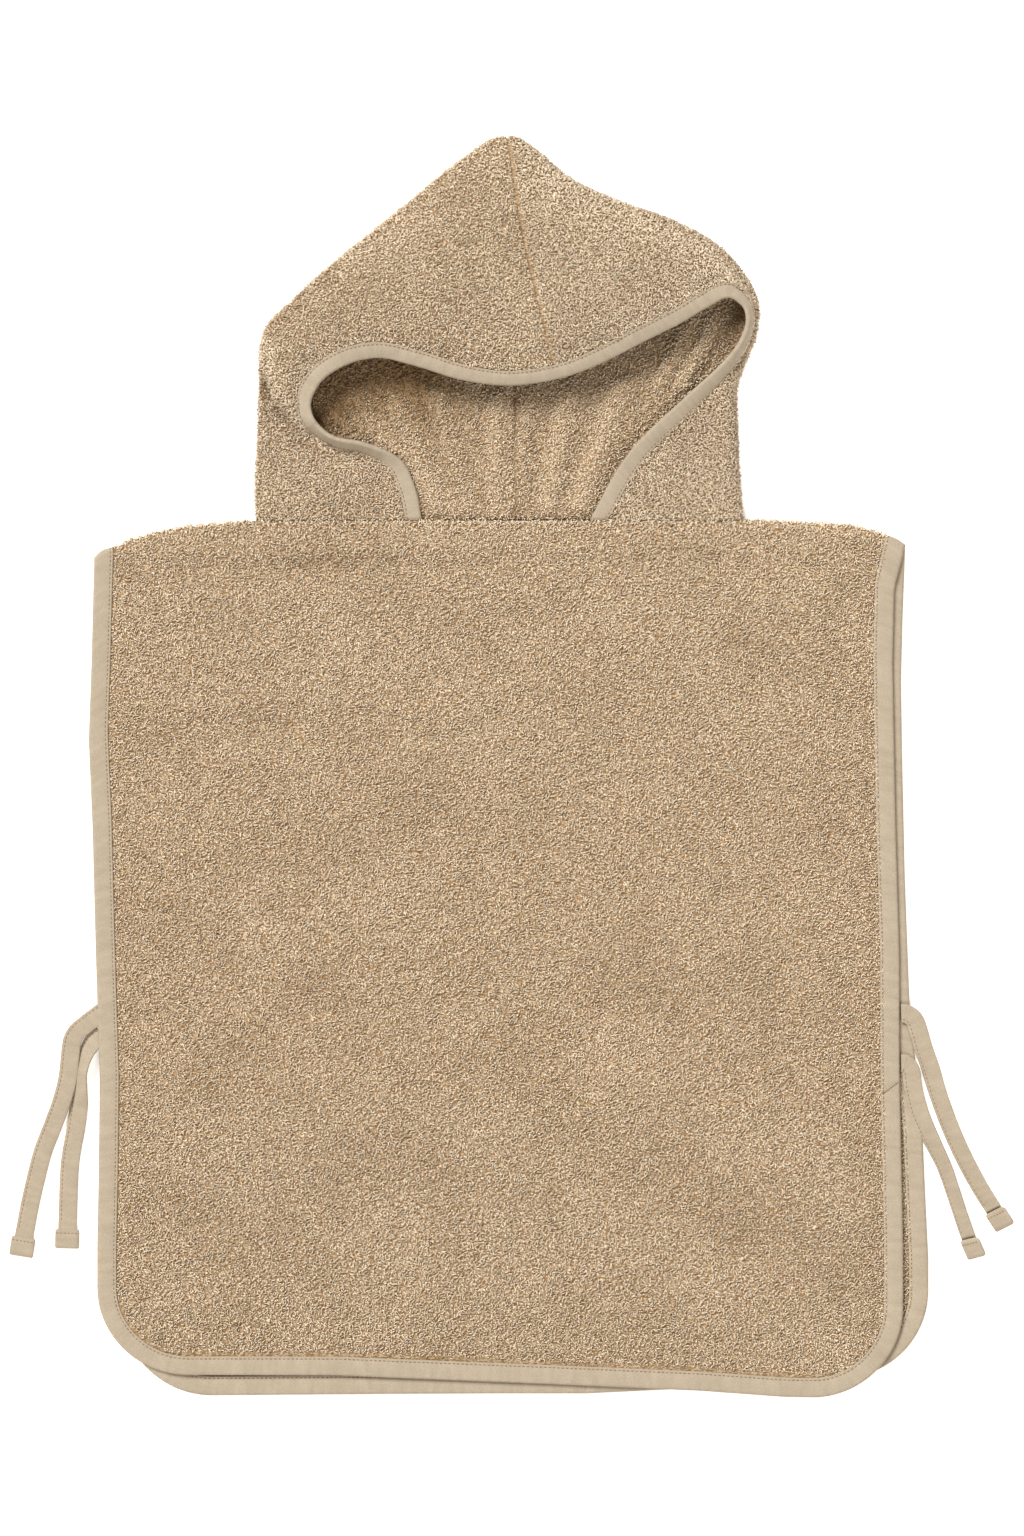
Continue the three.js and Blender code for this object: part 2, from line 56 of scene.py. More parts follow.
SEWN_GAP = 0.03
TERRY_INSET = 2.0
PANEL_TAPE = 13.3
HOOD_TAPE = 11.4
TAPE_SPREAD = PRESSED / 2 + GAP + TAPE / 2
UNDER_TAPE = TAPE_SPREAD + TAPE / 2
STITCH_PITCH = 3.0
STITCH_SEAT = UNDER_TAPE - 0.3
STITCH_MARGIN = 1.7

# Pile: the share of loops that stand up, flat and on a fold, and the ground's tone beside theirs, darker as
# painted shade between the loops
STANDING = 0.12
FOLD_STANDING = 0.35
GROUND_SHADE = 0.5
# Direction to the window lamp, toward which the pile gets painted shade
TO_WINDOW = np.array([-0.44, 0.57, 0.69])
# How many loops lie on each third of the front, on the back and on either side of a hood half
THIRD_LOOPS = 36500
BACK_LOOPS = 5000
HOOD_LOOPS = 18000
LINING_LOOPS = 11500
# Y where the front's thirds meet, and the hem and right side of what it covers of the back
THIRDS_Y = (-405, -210)
COVERED_HEM = -578
COVERED_RIGHT = 262

# Body
CORNER = 63.0
RUN = 590.0
HALF_NECK = 166.0
HALF_WIDTH = 278.0
NECK_Z = 6.1
ROLL_DEPTH = 3.8
CURL_WIDTH = 14.0
LOFT = 1.9
NECK_RISE = 40.0
BACK_RIGHT_EDGE = 296.0

# Ties
TIE_WIDTH = 12.8
TIE_THICKNESS = 1.8
TAB_WIDTH = 16.5
TAB_LENGTH = 13.0
TAB_THICKNESS = 3.0

MM = 0.001
GARMENT_ORIGIN = np.array([
    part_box("back_binding")[1].x / MM - BACK_RIGHT_EDGE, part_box("back_panel")[1].y / MM + GAP, 0.0])


def to_metres(points):
    """The garment's millimetres as the frame's metres."""
    return (np.asarray(points) + GARMENT_ORIGIN) * MM


def smooth(x, start, end):
    """0 before start, 1 after end, 3t^2 - 2t^3 between."""
    t = np.clip((x - start) / (end - start), 0, 1)
    return t * t * (3 - 2 * t)


def lerp(a, b, t):
    """a at t = 0 and b at t = 1."""
    return a + (b - a) * t


def unit(vectors):
    """Vectors at length one."""
    return vectors / np.maximum(np.linalg.norm(vectors, axis=-1, keepdims=True), 1e-12)


def table(columns, rows):
    """Rows of numbers as named columns."""
    return dict(zip(columns.split(), np.array(rows, float).T))


def ridges(rows, x, y):
    """Soft ridges along straight lines: the sum of height * exp(-(distance / width)^2)."""
    total = np.zeros(np.broadcast(x, y).shape)
    for x1, y1, x2, y2, height, width in zip(*rows.values()):
        dx, dy = x2 - x1, y2 - y1
        t = np.clip(((x - x1) * dx + (y - y1) * dy) / (dx * dx + dy * dy), 0, 1)
        distance = np.hypot(x - x1 - t * dx, y - y1 - t * dy)
        total = total + height * np.exp(-((distance / width) ** 2))
    return total


# Outlines to the tape's outer fold
SHOULDER = table("x y", [
    (-280, -27), (-273, -20.5), (-263, -17), (-250, -12.5), (-234, -8), (-213, -4), (-190, -2.2),
    (-166, 0), (180, 0), (221, -2), (242, -3.5), (263, -8), (272, -12), (281, -17)])
FRONT = {
    "name": "front",
    "hem": table("x y", [(-192, -588.6), (-110, -588.8), (-68, -590.6), (37, -594.8), (139, -599.3),
                         (196, -603.5), (223, -604)]),
    "side": table("y left right", [
        (-500, -276.7, 278.4), (-450, -275.7, 277.4), (-385, -275, 276), (-300, -277.7, 275.7),
        (-210, -280, 273), (-150, -282.6, 271.9), (-100, -280.8, 271), (-50, -279.5, 272.2),
        (-20, -278.5, 279)]),
}
BACK = {
    "name": "back",
    "hem": table("x y", [(-197, -603), (-68, -602), (-2, -601.7), (60, -601.7), (116.6, -599),
                         (233, -592)]),
    "side": table("y left right", [
        (-508, -261, 296), (-464, -262.5, 293.9), (-420, -265, 291.9), (-376, -267.5, 287.7),
        (-335, -269.5, 283.2), (-245, -273, 279.8), (-164, -276, 278), (-111, -277.5, 277.2),
        (-66, -278, 278.3), (-20, -278.5, 280)]),
}
RIDGE_COLUMNS = "x1 y1 x2 y2 height width"
# Troughs pressed into the front, also painted darker into the front's pile as shade
CREASES = table(RIDGE_COLUMNS, [
    (-262, -38, -120, -30, -1.4, 8), (-150, -30, 10, -29, -1.3, 7), (60, -24, 250, -31, -0.8, 8),
    (-255, -146, -150, -138, -1.1, 10), (-170, -139, -40, -140, -0.9, 11),
    (159, -82, 252, -148, -1.1, 11), (205, -150, 258, -205, -0.6, 10),
    (-14, -322, 4, -318, -1.1, 24), (-230, -300, -120, -318, -0.6, 18),
    (60, -420, 190, -438, -0.8, 20), (-210, -470, -60, -452, -0.7, 20), (20, -210, 150, -228, -0.7, 16),
])
SWELLS = table(RIDGE_COLUMNS, [
    (-262, -24, -120, -17, 0.9, 6), (-120, -17, 20, -16, 1.1, 6), (40, -14, 250, -19, 0.8, 6),
    (-240, -56, 30, -50, 0.9, 14), (90, -54, 240, -62, 0.8, 18), (-240, -176, -40, -170, 0.7, 24),
    (60, -290, 220, -300, 0.8, 32), (-180, -390, -20, -380, 0.8, 32), (80, -510, 220, -500, 0.7, 30),
    (140, -108, 225, -168, 0.8, 14), (-12, -290, 20, -286, 0.7, 20),
])


def pile(points):
    """How light the pile is coloured, near 1: fourteen seeded waves of tone, each bent by a shorter one, on
    a painted shade that darkens toward the hem."""
    random = np.random.default_rng(8)
    x, y = points[..., 0], points[..., 1]
    total = np.ones(x.shape)
    for _ in range(14):
        length, way, start = random.uniform(50, 240), random.uniform(0.8, 2.3), random.uniform(0, 6)
        along = x * math.cos(way) + y * math.sin(way)
        across = y * math.cos(way) - x * math.sin(way)
        bent = along + 0.18 * length * np.sin(across * 7 / length)
        total += 0.018 * np.sin(bent * 2 * math.pi / length + start)
    # Painted shade: darker toward the hem, lighter toward the neck
    return total + 0.0002 * (y + 200)


def painted_window_shade(normal):
    """Painted shade: how much darker the pile is coloured where it turns past flat to the window, to even
    out that window's light: 0.9 (up . window - normal . window), at most 0."""
    return 0.9 * np.minimum(TO_WINDOW[2] - normal @ TO_WINDOW, 0)


def roll_start(x):
    """Y where the shoulder starts to roll under."""
    return np.interp(x, SHOULDER["x"], SHOULDER["y"]) - ROLL_DEPTH


def panel_y(panel, x, run):
    """Y at a distance from the hem, stretched so that RUN is the shoulder's line."""
    hem = np.interp(x, panel["hem"]["x"], panel["hem"]["y"])
    return hem + np.minimum(run, RUN) / RUN * (roll_start(x) - hem)


def panel_run(panel, mid):
    """Distance from the hem of a panel's points, from their Y."""
    hem = np.interp(mid[..., 0], panel["hem"]["x"], panel["hem"]["y"])
    return (mid[..., 1] - hem) / (roll_start(mid[..., 0]) - hem) * RUN


def side_x(panel, side, run):
    """X of the left or right outline at a distance from the hem."""
    y = panel_y(panel, -HALF_WIDTH if side == "left" else HALF_WIDTH, run)
    return np.interp(y, panel["side"]["y"], panel["side"][side])


def edge_distance(panel, x, run):
    """Distance from the outline, with its rounded lower corners."""
    across = np.minimum(x - side_x(panel, "left", run), side_x(panel, "right", run) - x)
    corner = CORNER - np.hypot(CORNER - across, CORNER - run)
    return np.where((across < CORNER) & (run < CORNER), corner, np.minimum(across, run))


def half_terry(edge):
    """Half the terry's thickness: pressed inside the tape, swelling past it."""
    return lerp(PRESSED, TERRY, smooth(edge, 15.5, 24)) / 2


def panel_point(panel, x, run):
    """Middle surface of a panel.

    Up to RUN it is (x, y, z) with z from the layers below. One more unit of run turns it round the
    shoulder: y = y0 + r sin(a), z = z0 -+ r (1 - cos(a)), flattened to a straight edge at the neck.
    """
    x, run = np.broadcast_arrays(np.asarray(x, float), np.asarray(run, float))
    edge = edge_distance(panel, x, run)
    start = roll_start(x)
    y = panel_y(panel, x, run)
    back = lerp(UNDER_TAPE, TERRY / 2, smooth(edge, 16, 26))
    below = lerp(2 * UNDER_TAPE, TERRY, smooth(edge, 36, 60)) + GAP
    relief = LOFT + ridges(CREASES, x, y) + ridges(SWELLS, x, y)
    front = lerp(below + back + smooth(edge, 30, 60) * relief, NECK_Z, smooth(y - start, -NECK_RISE / 3, 0))
    flat, turn = (front, -1) if panel is FRONT else (back, 1)
    curl = smooth(np.abs(x), HALF_NECK, HALF_NECK + CURL_WIDTH)
    radius = (NECK_Z - back) / 2
    length = np.maximum(0, run - RUN) * (lerp(ROLL_DEPTH, radius * math.pi / 2, curl) - GAP)
    bend = np.maximum(curl, 1e-6) / radius
    rolled = start + np.sin(length * bend) / bend
    return np.stack([x, np.where(run > RUN, rolled, y),
                     flat + turn * (1 - np.cos(length * bend)) / bend], -1)


def panel_frame(panel, x, run):
    """A panel's middle points and their normals, from small steps both ways."""
    step = 0.01
    across = panel_point(panel, x + step, run) - panel_point(panel, x - step, run)
    along = panel_point(panel, x, run + step) - panel_point(panel, x, run - step)
    return panel_point(panel, x, run), unit(np.cross(across, along))


def distances(points):
    """Distance from the start along each line of points."""
    steps = np.linalg.norm(np.diff(points, axis=-2), axis=-1)
    return np.concatenate([np.zeros((*steps.shape[:-1], 1)), np.cumsum(steps, axis=-1)], axis=-1)


def line_points(line, length, at):
    """Points of a line at distances from its start."""
    return np.stack([np.interp(at, length, line[:, i]) for i in range(3)], -1)


def grid_normals(grid):
    """Normals of a grid of points: across the columns x along the rows."""
    return unit(np.cross(np.gradient(grid, axis=1), np.gradient(grid, axis=0)))


def quads(a, b, c, d):
    """Four index arrays as rows of four."""
    return np.stack([a, b, c, d], axis=-1).reshape(-1, 4)


def add_mesh(name, points, faces, finish, maps=None, tones=None):
    """A mesh object from whole arrays. maps holds a UV pair for each face corner."""
    mesh = bpy.data.meshes.new(name)
    mesh.vertices.add(len(points))
    mesh.vertices.foreach_set("co", to_metres(points).astype(np.float32).ravel())
    mesh.loops.add(faces.size)
    mesh.loops.foreach_set("vertex_index", faces.astype(np.int32).ravel())
    mesh.polygons.add(len(faces))
    mesh.polygons.foreach_set("loop_start", np.arange(0, faces.size, faces.shape[1], dtype=np.int32))
    for label, corners in (maps or {}).items():
        layer = mesh.uv_layers.new(name=label)
        layer.data.foreach_set("uv", corners.astype(np.float32).ravel())
    if tones is not None:
        attribute = mesh.attributes.new("tone", "FLOAT", "POINT")
        attribute.data.foreach_set("value", tones.astype(np.float32))
    mesh.update(calc_edges=True)
    mesh.shade_smooth()
    mesh.materials.append(finish)
    piece = bpy.data.objects.new(name, mesh)
    bpy.context.scene.collection.objects.link(piece)
    return piece


def wall(name, mid, normal, half, finish, cloth=None, tone=None):
    """A closed wall: mid + normal * half over mid - normal * half, joined by four rims.

    The bake's map has the upper face at the left, the under face at the right and the rims in strips
    below. "cloth" is places along and across a tape, in metres, and "tone" how light the pile is coloured,
    with painted shade.
    """
    rows, columns = mid.shape[:2]
    over = mid + normal * half[..., None]
    below = mid - normal * half[..., None]
    top = np.arange(rows * columns).reshape(rows, columns)
    low = top + rows * columns
    faces = np.concatenate([
        quads(top[:-1, :-1], top[:-1, 1:], top[1:, 1:], top[1:, :-1]),
        quads(low[:-1, :-1], low[1:, :-1], low[1:, 1:], low[:-1, 1:]),
        quads(top[0, :-1], low[0, :-1], low[0, 1:], top[0, 1:]),
        quads(top[-1, :-1], top[-1, 1:], low[-1, 1:], low[-1, :-1]),
        quads(top[:-1, 0], top[1:, 0], low[1:, 0], low[:-1, 0]),
        quads(top[:-1, -1], low[:-1, -1], low[1:, -1], top[1:, -1])])
    u, v = np.meshgrid(np.linspace(0, 1, columns), np.linspace(0, 1, rows))
    place = np.stack([u * 0.49, 0.06 + v * 0.94], -1).reshape(-1, 2)
    place = np.concatenate([place, place + (0.51, 0)])
    bake = place[faces]
    start = 2 * (rows - 1) * (columns - 1)
    for strip, count in enumerate([columns - 1, columns - 1, rows - 1, rows - 1]):
        low_v, high_v = 0.012 * strip + 0.002, 0.012 * strip + 0.01
        at = np.arange(count) / count
        ahead = at + 1 / count
        corners = [(at, low_v), (at, high_v), (ahead, high_v), (ahead, low_v)]
        order = (0, 1, 2, 3) if strip in (0, 3) else (0, 3, 2, 1)
        for i, corner in enumerate(order):
            s, t = corners[corner]
            bake[start:start + count, i, 0] = s
            bake[start:start + count, i, 1] = t
        start += count
    maps = {"OFBake": bake}
    if cloth is not None:
        maps["cloth"] = np.concatenate([cloth.reshape(-1, 2)] * 2)[faces]
    points = np.concatenate([over.reshape(-1, 3), below.reshape(-1, 3)])
    tones = None if tone is None else np.concatenate([tone.ravel()] * 2)
    return add_mesh(name, points, faces, finish, maps, tones)


class Socket:
    """A shader socket on which Python arithmetic adds Math nodes."""

    def __init__(self, finish, output):
        self.finish = finish
        self.output = output

    def math(self, operation, *values):
        return self.finish.node("ShaderNodeMath", {"operation": operation}, dict(enumerate(values)))

    def __add__(self, other):
        return self.math("ADD", self, other)

    def __radd__(self, other):
        return self.math("ADD", other, self)

    def __sub__(self, other):
        return self.math("SUBTRACT", self, other)

    def __rsub__(self, other):
        return self.math("SUBTRACT", other, self)

    def __mul__(self, other):
        return self.math("MULTIPLY", self, other)

    def __rmul__(self, other):
        return self.math("MULTIPLY", other, self)

    def wave(self, length):
        """The sine that repeats once over a length."""
        angle = self * (2 * math.pi / length)
        return angle.math("SINE", angle)

    def between(self, low, high):
        """0 below low, 1 above high, smooth between."""
        return self.finish.node(
            "ShaderNodeMapRange", {"interpolation_type": "SMOOTHSTEP"}, {0: self, 1: low, 2: high})


class Finish:
    """One procedural material."""

    def __init__(self, name, roughness, sheen):
        self.material = bpy.data.materials.new(name)
        self.material.use_nodes = True
        self.tree = self.material.node_tree
        self.shader = self.tree.nodes["Principled BSDF"]
        for label, value in (("Roughness", roughness), ("Sheen Weight", sheen),
                             ("Sheen Roughness", 0.6), ("Specular IOR Level", 0.12)):
            self.shader.inputs[label].default_value = value

    def node(self, kind, settings, values, output=0):
        """Adds a node and fills its sockets with values or links."""
        made = self.tree.nodes.new(kind)
        for key, value in settings.items():
            setattr(made, key, value)
        for key, value in values.items():
            if isinstance(value, Socket):
                self.tree.links.new(value.output, made.inputs[key])
            else:
                made.inputs[key].default_value = value
        return Socket(self, made.outputs[output])

    def mix(self, factor, low, high):
        """A colour from low to high."""
        return self.node("ShaderNodeMix", {"data_type": "RGBA"}, {0: factor, 6: low, 7: high}, 2)

    def places(self):
        """Object coordinates in millimetres."""
        here = self.node("ShaderNodeTexCoord", {}, {}, "Object")
        return self.node("ShaderNodeVectorMath", {"operation": "SCALE"}, {0: here, "Scale": 1 / MM})

    def noise(self, place, size, detail):
        """Noise with features of a size in the place's units."""
        return self.node("ShaderNodeTexNoise", {}, {"Vector": place, "Scale": 1 / size, "Detail": detail})

    def wear(self, colour, height, strength, distance):
        """Joins the colour and a bump to the shader."""
        bump = self.node("ShaderNodeBump", {}, {
            "Strength": strength, "Distance": distance * MM, "Height": height})
        self.tree.links.new(colour.output, self.shader.inputs["Base Color"])
        self.tree.links.new(bump.output, self.shader.inputs["Normal"])
        return self.material


# Loops: the lit yarn, and the painted shade of the gaps between loops and of their feet. The tape's two
# colours carry its slubs and the painted shade of its creases
LOOP_SHADE = (0.235, 0.14, 0.058, 1)
LOOP_LIGHT = (0.89, 0.755, 0.575, 1)
TAPE_DARK = (0.31, 0.257, 0.188, 1)
TAPE_LIGHT = (0.42, 0.353, 0.265, 1)
THREAD_DARK = (0.17, 0.095, 0.048, 1)
THREAD_LIGHT = (0.31, 0.19, 0.11, 1)


def laid_loops(finish, place, turn):
    """One lay of loops: long cells turned by an angle, high in their middles."""
    cells = finish.node("ShaderNodeMapping", {}, {
        "Vector": place, "Rotation": (0, 0, turn), "Scale": (1 / 2.4, 1 / 0.95, 1 / 1.5)})
    far = finish.node("ShaderNodeTexVoronoi", {}, {"Vector": cells, "Scale": 1.0}, "Distance")
    return 1 - far


def terry_base():
    """Ground of the terry: two lays of loops in swirling patches, coloured darker where the loops are low,
    as painted shade between them.
    """
    finish = Finish("terry_ground", 0.95, 0.06)
    place = finish.places()
    sway = finish.node("ShaderNodeTexNoise", {}, {"Vector": place, "Scale": 1 / 9, "Detail": 1.0}, "Color")
    moved = finish.node("ShaderNodeVectorMath", {"operation": "MULTIPLY_ADD"}, {
        0: sway, 1: (5, 5, 5), 2: place})
    first, second = [laid_loops(finish, moved, turn) for turn in (0.35, -0.95)]
    some = finish.noise(place, 16, 1.0).between(0.46, 0.54)
    height = first * (1 - some) + second * some
    grain = finish.noise(place, 1.1, 1.0).between(0.36, 0.64)
    tone = finish.node("ShaderNodeAttribute", {"attribute_name": "tone"}, {}, "Fac")
    # Painted shade: low places between the loops take the dark colour; the grain adds random tone
    level = (height * 0.75 + grain * 0.25).between(0.25, 0.85) * tone
    colour = finish.mix(level, LOOP_SHADE, LOOP_LIGHT)
    return finish.wear(colour, height, 0.9, 0.9)


def terry_loops():
    """Standing loops: painted shade at the foot, light along the crown, each with its own tone."""
    finish = Finish("terry_loops", 0.95, 0.06)
    tone = finish.node("ShaderNodeAttribute", {"attribute_name": "tone"}, {}, "Fac")
    grain = finish.noise(finish.places(), 1.1, 1.0).between(0.36, 0.64)
    level = (tone + (grain - 0.5) * 0.45).between(-0.1, 1.05)
    colour = finish.mix(level, LOOP_SHADE, LOOP_LIGHT)
    return finish.wear(colour, grain, 0.4, 0.3)


def woven_tape():
    """Plain weave: threads over and under every half millimetre, with soft pulled creases that bump the
    tape and are painted into its colour as shade.
    """
    finish = Finish("woven_tape", 0.85, 0.08)
    map_place = finish.node("ShaderNodeUVMap", {"uv_map": "cloth"}, {})
    place = finish.node("ShaderNodeVectorMath", {"operation": "SCALE"}, {0: map_place, "Scale": 1 / MM})
    turned = finish.node("ShaderNodeMapping", {}, {"Vector": place, "Rotation": (0, 0, math.pi / 4)})
    warp, weft = [finish.node("ShaderNodeSeparateXYZ", {}, {0: turned}, axis) for axis in (0, 1)]
    weave = warp.wave(0.55) * weft.wave(0.55)
    pulled = finish.node("ShaderNodeMapping", {}, {"Vector": place, "Scale": (1 / 5, 1 / 16, 1)})
    crease_shade = finish.node("ShaderNodeTexNoise", {}, {"Vector": pulled, "Scale": 1.0, "Detail": 2.0})
    slub = finish.noise(place, 1.1, 2.0)
    # Colour: the yarn's slubs, the painted shade of the pulled creases, and the weave
    level = (slub * 0.5 + crease_shade * 0.4 + weave * 0.06).between(0.22, 0.72)
    colour = finish.mix(level, TAPE_DARK, TAPE_LIGHT)
    return finish.wear(colour, weave * 0.12 + crease_shade * 0.8 + slub * 0.15, 0.45, 0.7)


def sewing_thread():
    """Twisted thread: fine slanting strands."""
    finish = Finish("sewing_thread", 0.7, 0.0)
    strand = finish.noise(finish.places(), 0.35, 1.0)
    return finish.wear(finish.mix(strand, THREAD_DARK, THREAD_LIGHT), strand, 0.4, 0.1)


def stamp(name, shape, faces, centres, axes, sizes, finish, place=None, tones=None, span=1.0):
    """Copies one small shape to many places as one mesh: centre + sum(axis * size * coordinate).

    The bake's map has each copy round its place, along the last two axes and as shares of "span".
    """
    spread = (shape[None, :, :, None] * sizes[:, None, :, None] * axes[:, None, :, :]).sum(axis=2)
    points = centres[:, None, :] + spread
    points[..., 2] = np.maximum(points[..., 2], 0.05)
    count, corners = len(centres), len(shape)
    all_faces = (faces[None] + np.arange(count)[:, None, None] * corners).reshape(-1, faces.shape[1])
    maps = None
    if place is not None:
        local = np.stack([(spread * axes[:, None, 3]).sum(-1), (spread * axes[:, None, 4]).sum(-1)], -1)
        at = place[:, None, :] + local / span
        maps = {"OFBake": at.reshape(-1, 2)[all_faces]}
    return add_mesh(name, points.reshape(-1, 3), all_faces, finish, maps, tones)


LOOP_SHAPE = np.array([(-0.5, 0, 1), (0.5, 0, 1), (0, -0.5, -0.2), (0, 0.5, -0.2)])
LOOP_FACES = np.array([(0, 1, 3), (0, 2, 1), (0, 3, 2), (1, 2, 3)])
CELL_STEPS = (0.7548776662, 0.5698402910)


def loops(name, surface, count, seed, thin, shade=None, standing=STANDING):
    """Terry loops on a grid surface, evenly by area and lying along a slowly swirling lay.

    Loops of one cell follow each other, and their places in it go on by CELL_STEPS plus a jitter.
    The lay's angle is 1.3 sin(x/17 + 1.4 sin(y/23)) + 1.1 sin(y/14 + 1.2 sin(x/19)) plus a jitter.
    "thin" says how many loops a place gets, "shade" how much painted light or shade they get there and
    "standing" which share of them stands up.
    """
    random = np.random.default_rng(seed)
    normal = grid_normals(surface)
    rows, columns = surface.shape[:2]
    across = surface[:-1, 1:] - surface[:-1, :-1]
    along = surface[1:, :-1] - surface[:-1, :-1]
    area = np.linalg.norm(np.cross(across, along), axis=-1) * thin[:-1, :-1]
    share = np.cumsum(area.ravel())
    cell = np.searchsorted(share, (np.arange(count) + random.random(count)) / count * share[-1])
    cell = np.minimum(cell, area.size - 1)
    r, c = np.divmod(cell, columns - 1)
    order = np.arange(count)
    s, t = [(order * step + random.uniform(0, 0.42, count)) % 1 for step in CELL_STEPS]

    def blend(grid):
        low = lerp(grid[r, c], grid[r, c + 1], s[:, None])
        high = lerp(grid[r + 1, c], grid[r + 1, c + 1], s[:, None])
        return lerp(low, high, t[:, None])

    centre, up = blend(surface), unit(blend(normal))
    x, y = centre[:, 0], centre[:, 1]
    lay = 1.3 * np.sin(x / 17 + 1.4 * np.sin(y / 23)) + 1.1 * np.sin(y / 14 + 1.2 * np.sin(x / 19))
    lay = lay + random.normal(0, 1.1, count)
    right = unit(across[r, c] - (across[r, c] * up).sum(-1, keepdims=True) * up)
    ahead = np.cross(up, right)
    way = np.cos(lay)[:, None] * right + np.sin(lay)[:, None] * ahead
    stand_share = np.broadcast_to(standing, (rows, columns))[r, c]
    stands = random.random(count) < stand_share
    lean = np.where(stands, random.uniform(0.9, 1.8, count), random.normal(0, 0.4, count))[:, None]
    way_up = unit(way + lean * up)
    side = unit(np.cross(up, way_up))
    crown = np.cross(way_up, side)
    sizes = np.stack([random.uniform(2.1, 3.3, count) * np.where(stands, 1 + 2 * stand_share, 1),
                      random.uniform(1.0, 1.4, count), random.uniform(1.0, 2.0, count)], -1)
    axes = np.stack([way_up, side, crown, right, ahead], axis=1)
    # Each loop's own random tone, with painted shade on the standing loops, whose faces meet the window
    tone = random.uniform(0.66, 1.22, count) * pile(centre) - 0.12 * stands
    if shade is not None:
        tone = tone + shade[r, c]
    # Painted shade at each loop's foot: its two base corners take 0.08 of its tone
    tones = (tone[:, None] * np.array([1.0, 1.0, 0.08, 0.08])).ravel()
    place = np.stack([(c + s) / (columns - 1), (r + t) / (rows - 1)], -1)
    lengths = np.array([np.linalg.norm(across, axis=-1).sum(1).mean(),
                        np.linalg.norm(along, axis=-1).sum(0).mean()])
    stretch = np.pad(sizes, ((0, 0), (0, 2)))
    shape = np.pad(LOOP_SHAPE, ((0, 0), (0, 2)))
    piece = stamp(name, shape, LOOP_FACES, centre, axes, stretch, TERRY_LOOPS, place, tones, lengths)
    return dress(piece)


# Materials
TERRY_GROUND = terry_base()
TERRY_LOOPS = terry_loops()
WOVEN_TAPE = woven_tape()
THREAD = sewing_thread()

STITCH_SHAPE = np.array([
    (-0.5, 0, -0.3), (-0.28, -0.5, 0), (-0.28, 0.5, 0), (-0.3, 0, 1), (0.28, -0.5, 0), (0.28, 0.5, 0),
    (0.3, 0, 1), (0.5, 0, -0.3), (-0.28, 0, -0.6), (0.28, 0, -0.6)])
STITCH_FACES = np.array([
    (0, 1, 3), (0, 3, 2), (0, 8, 1), (0, 2, 8), (7, 6, 4), (7, 5, 6), (7, 4, 9), (7, 9, 5),
    (1, 4, 6), (1, 6, 3), (3, 6, 5), (3, 5, 2), (1, 8, 9), (1, 9, 4), (2, 5, 9), (2, 9, 8)])


def stitches(name, path, up, pitch=STITCH_PITCH, width=0.85, height=0.5):
    """Stitches laid end to end along a path of points, sunk a little into the cloth."""
    length = distances(path)
    at = np.arange(pitch / 2, length[-1] - pitch / 2, pitch)
    centre = line_points(path, length, at)
    way = unit(line_points(path, length, at + pitch / 3) - line_points(path, length, at - pitch / 3))
    crown = unit(line_points(up, length, at))
    side = unit(np.cross(crown, way))
    axes = np.stack([way, side, np.cross(way, side)], axis=1)
    sizes = np.tile([pitch * 0.7, width, height], (len(at), 1))
    return stamp(name, STITCH_SHAPE, STITCH_FACES, centre, axes, sizes, THREAD)


def spaced(start, end, step):
    """Even values from start to end, about a step apart."""
    return np.linspace(start, end, max(2, round(abs(end - start) / step) + 1))


def terry_panel(panel, fine):
    """A terry panel, with its rows along the hem and round its corners, and its columns across."""
    hem_runs = np.concatenate([[TERRY_INSET, 3, 4.5, 6.5, 9, 12], spaced(PANEL_TAPE, CORNER, 3.2)])
    roll = np.linspace(RUN, RUN + 1, 9)[1:]
    runs = np.concatenate([hem_runs, spaced(CORNER, RUN - 12, fine)[1:], spaced(RUN - 9, RUN, 3), roll])
    rest = CORNER - TERRY_INSET
    inset = CORNER - np.where(
        runs < CORNER, np.sqrt(np.maximum(rest ** 2 - (CORNER - runs) ** 2, 0)), rest)
    left = side_x(panel, "left", runs) + inset
    right = side_x(panel, "right", runs) - inset
    edges = np.concatenate([[0, 3, 6, 9, 12], spaced(14, 59, 3.2)])
    middle = np.linspace(0, 1, round(430 / fine) + 2)[1:-1]
    span = (right - left)[:, None] - 2 * edges[-1]
    x = np.concatenate([left[:, None] + edges, left[:, None] + edges[-1] + span * middle,
                        right[:, None] - edges[::-1]], axis=1)
    run = np.broadcast_to(runs[:, None], x.shape)
    return *panel_frame(panel, x, run), half_terry(edge_distance(panel, x, run))


def tape_section(legs):
    """The folded tape in section: distance in from its fold, and height over the terry's middle."""
    centre = TAPE / 2 + TAPE_SPREAD
    angle = np.radians(np.linspace(67.5, -67.5, 7))
    inset = np.concatenate([legs, [centre], centre - TAPE_SPREAD * np.cos(angle), [centre], legs[::-1]])
    height = np.concatenate([np.full(len(legs) + 1, TAPE_SPREAD), TAPE_SPREAD * np.sin(angle),
                             np.full(len(legs) + 1, -TAPE_SPREAD)])
    return inset, height


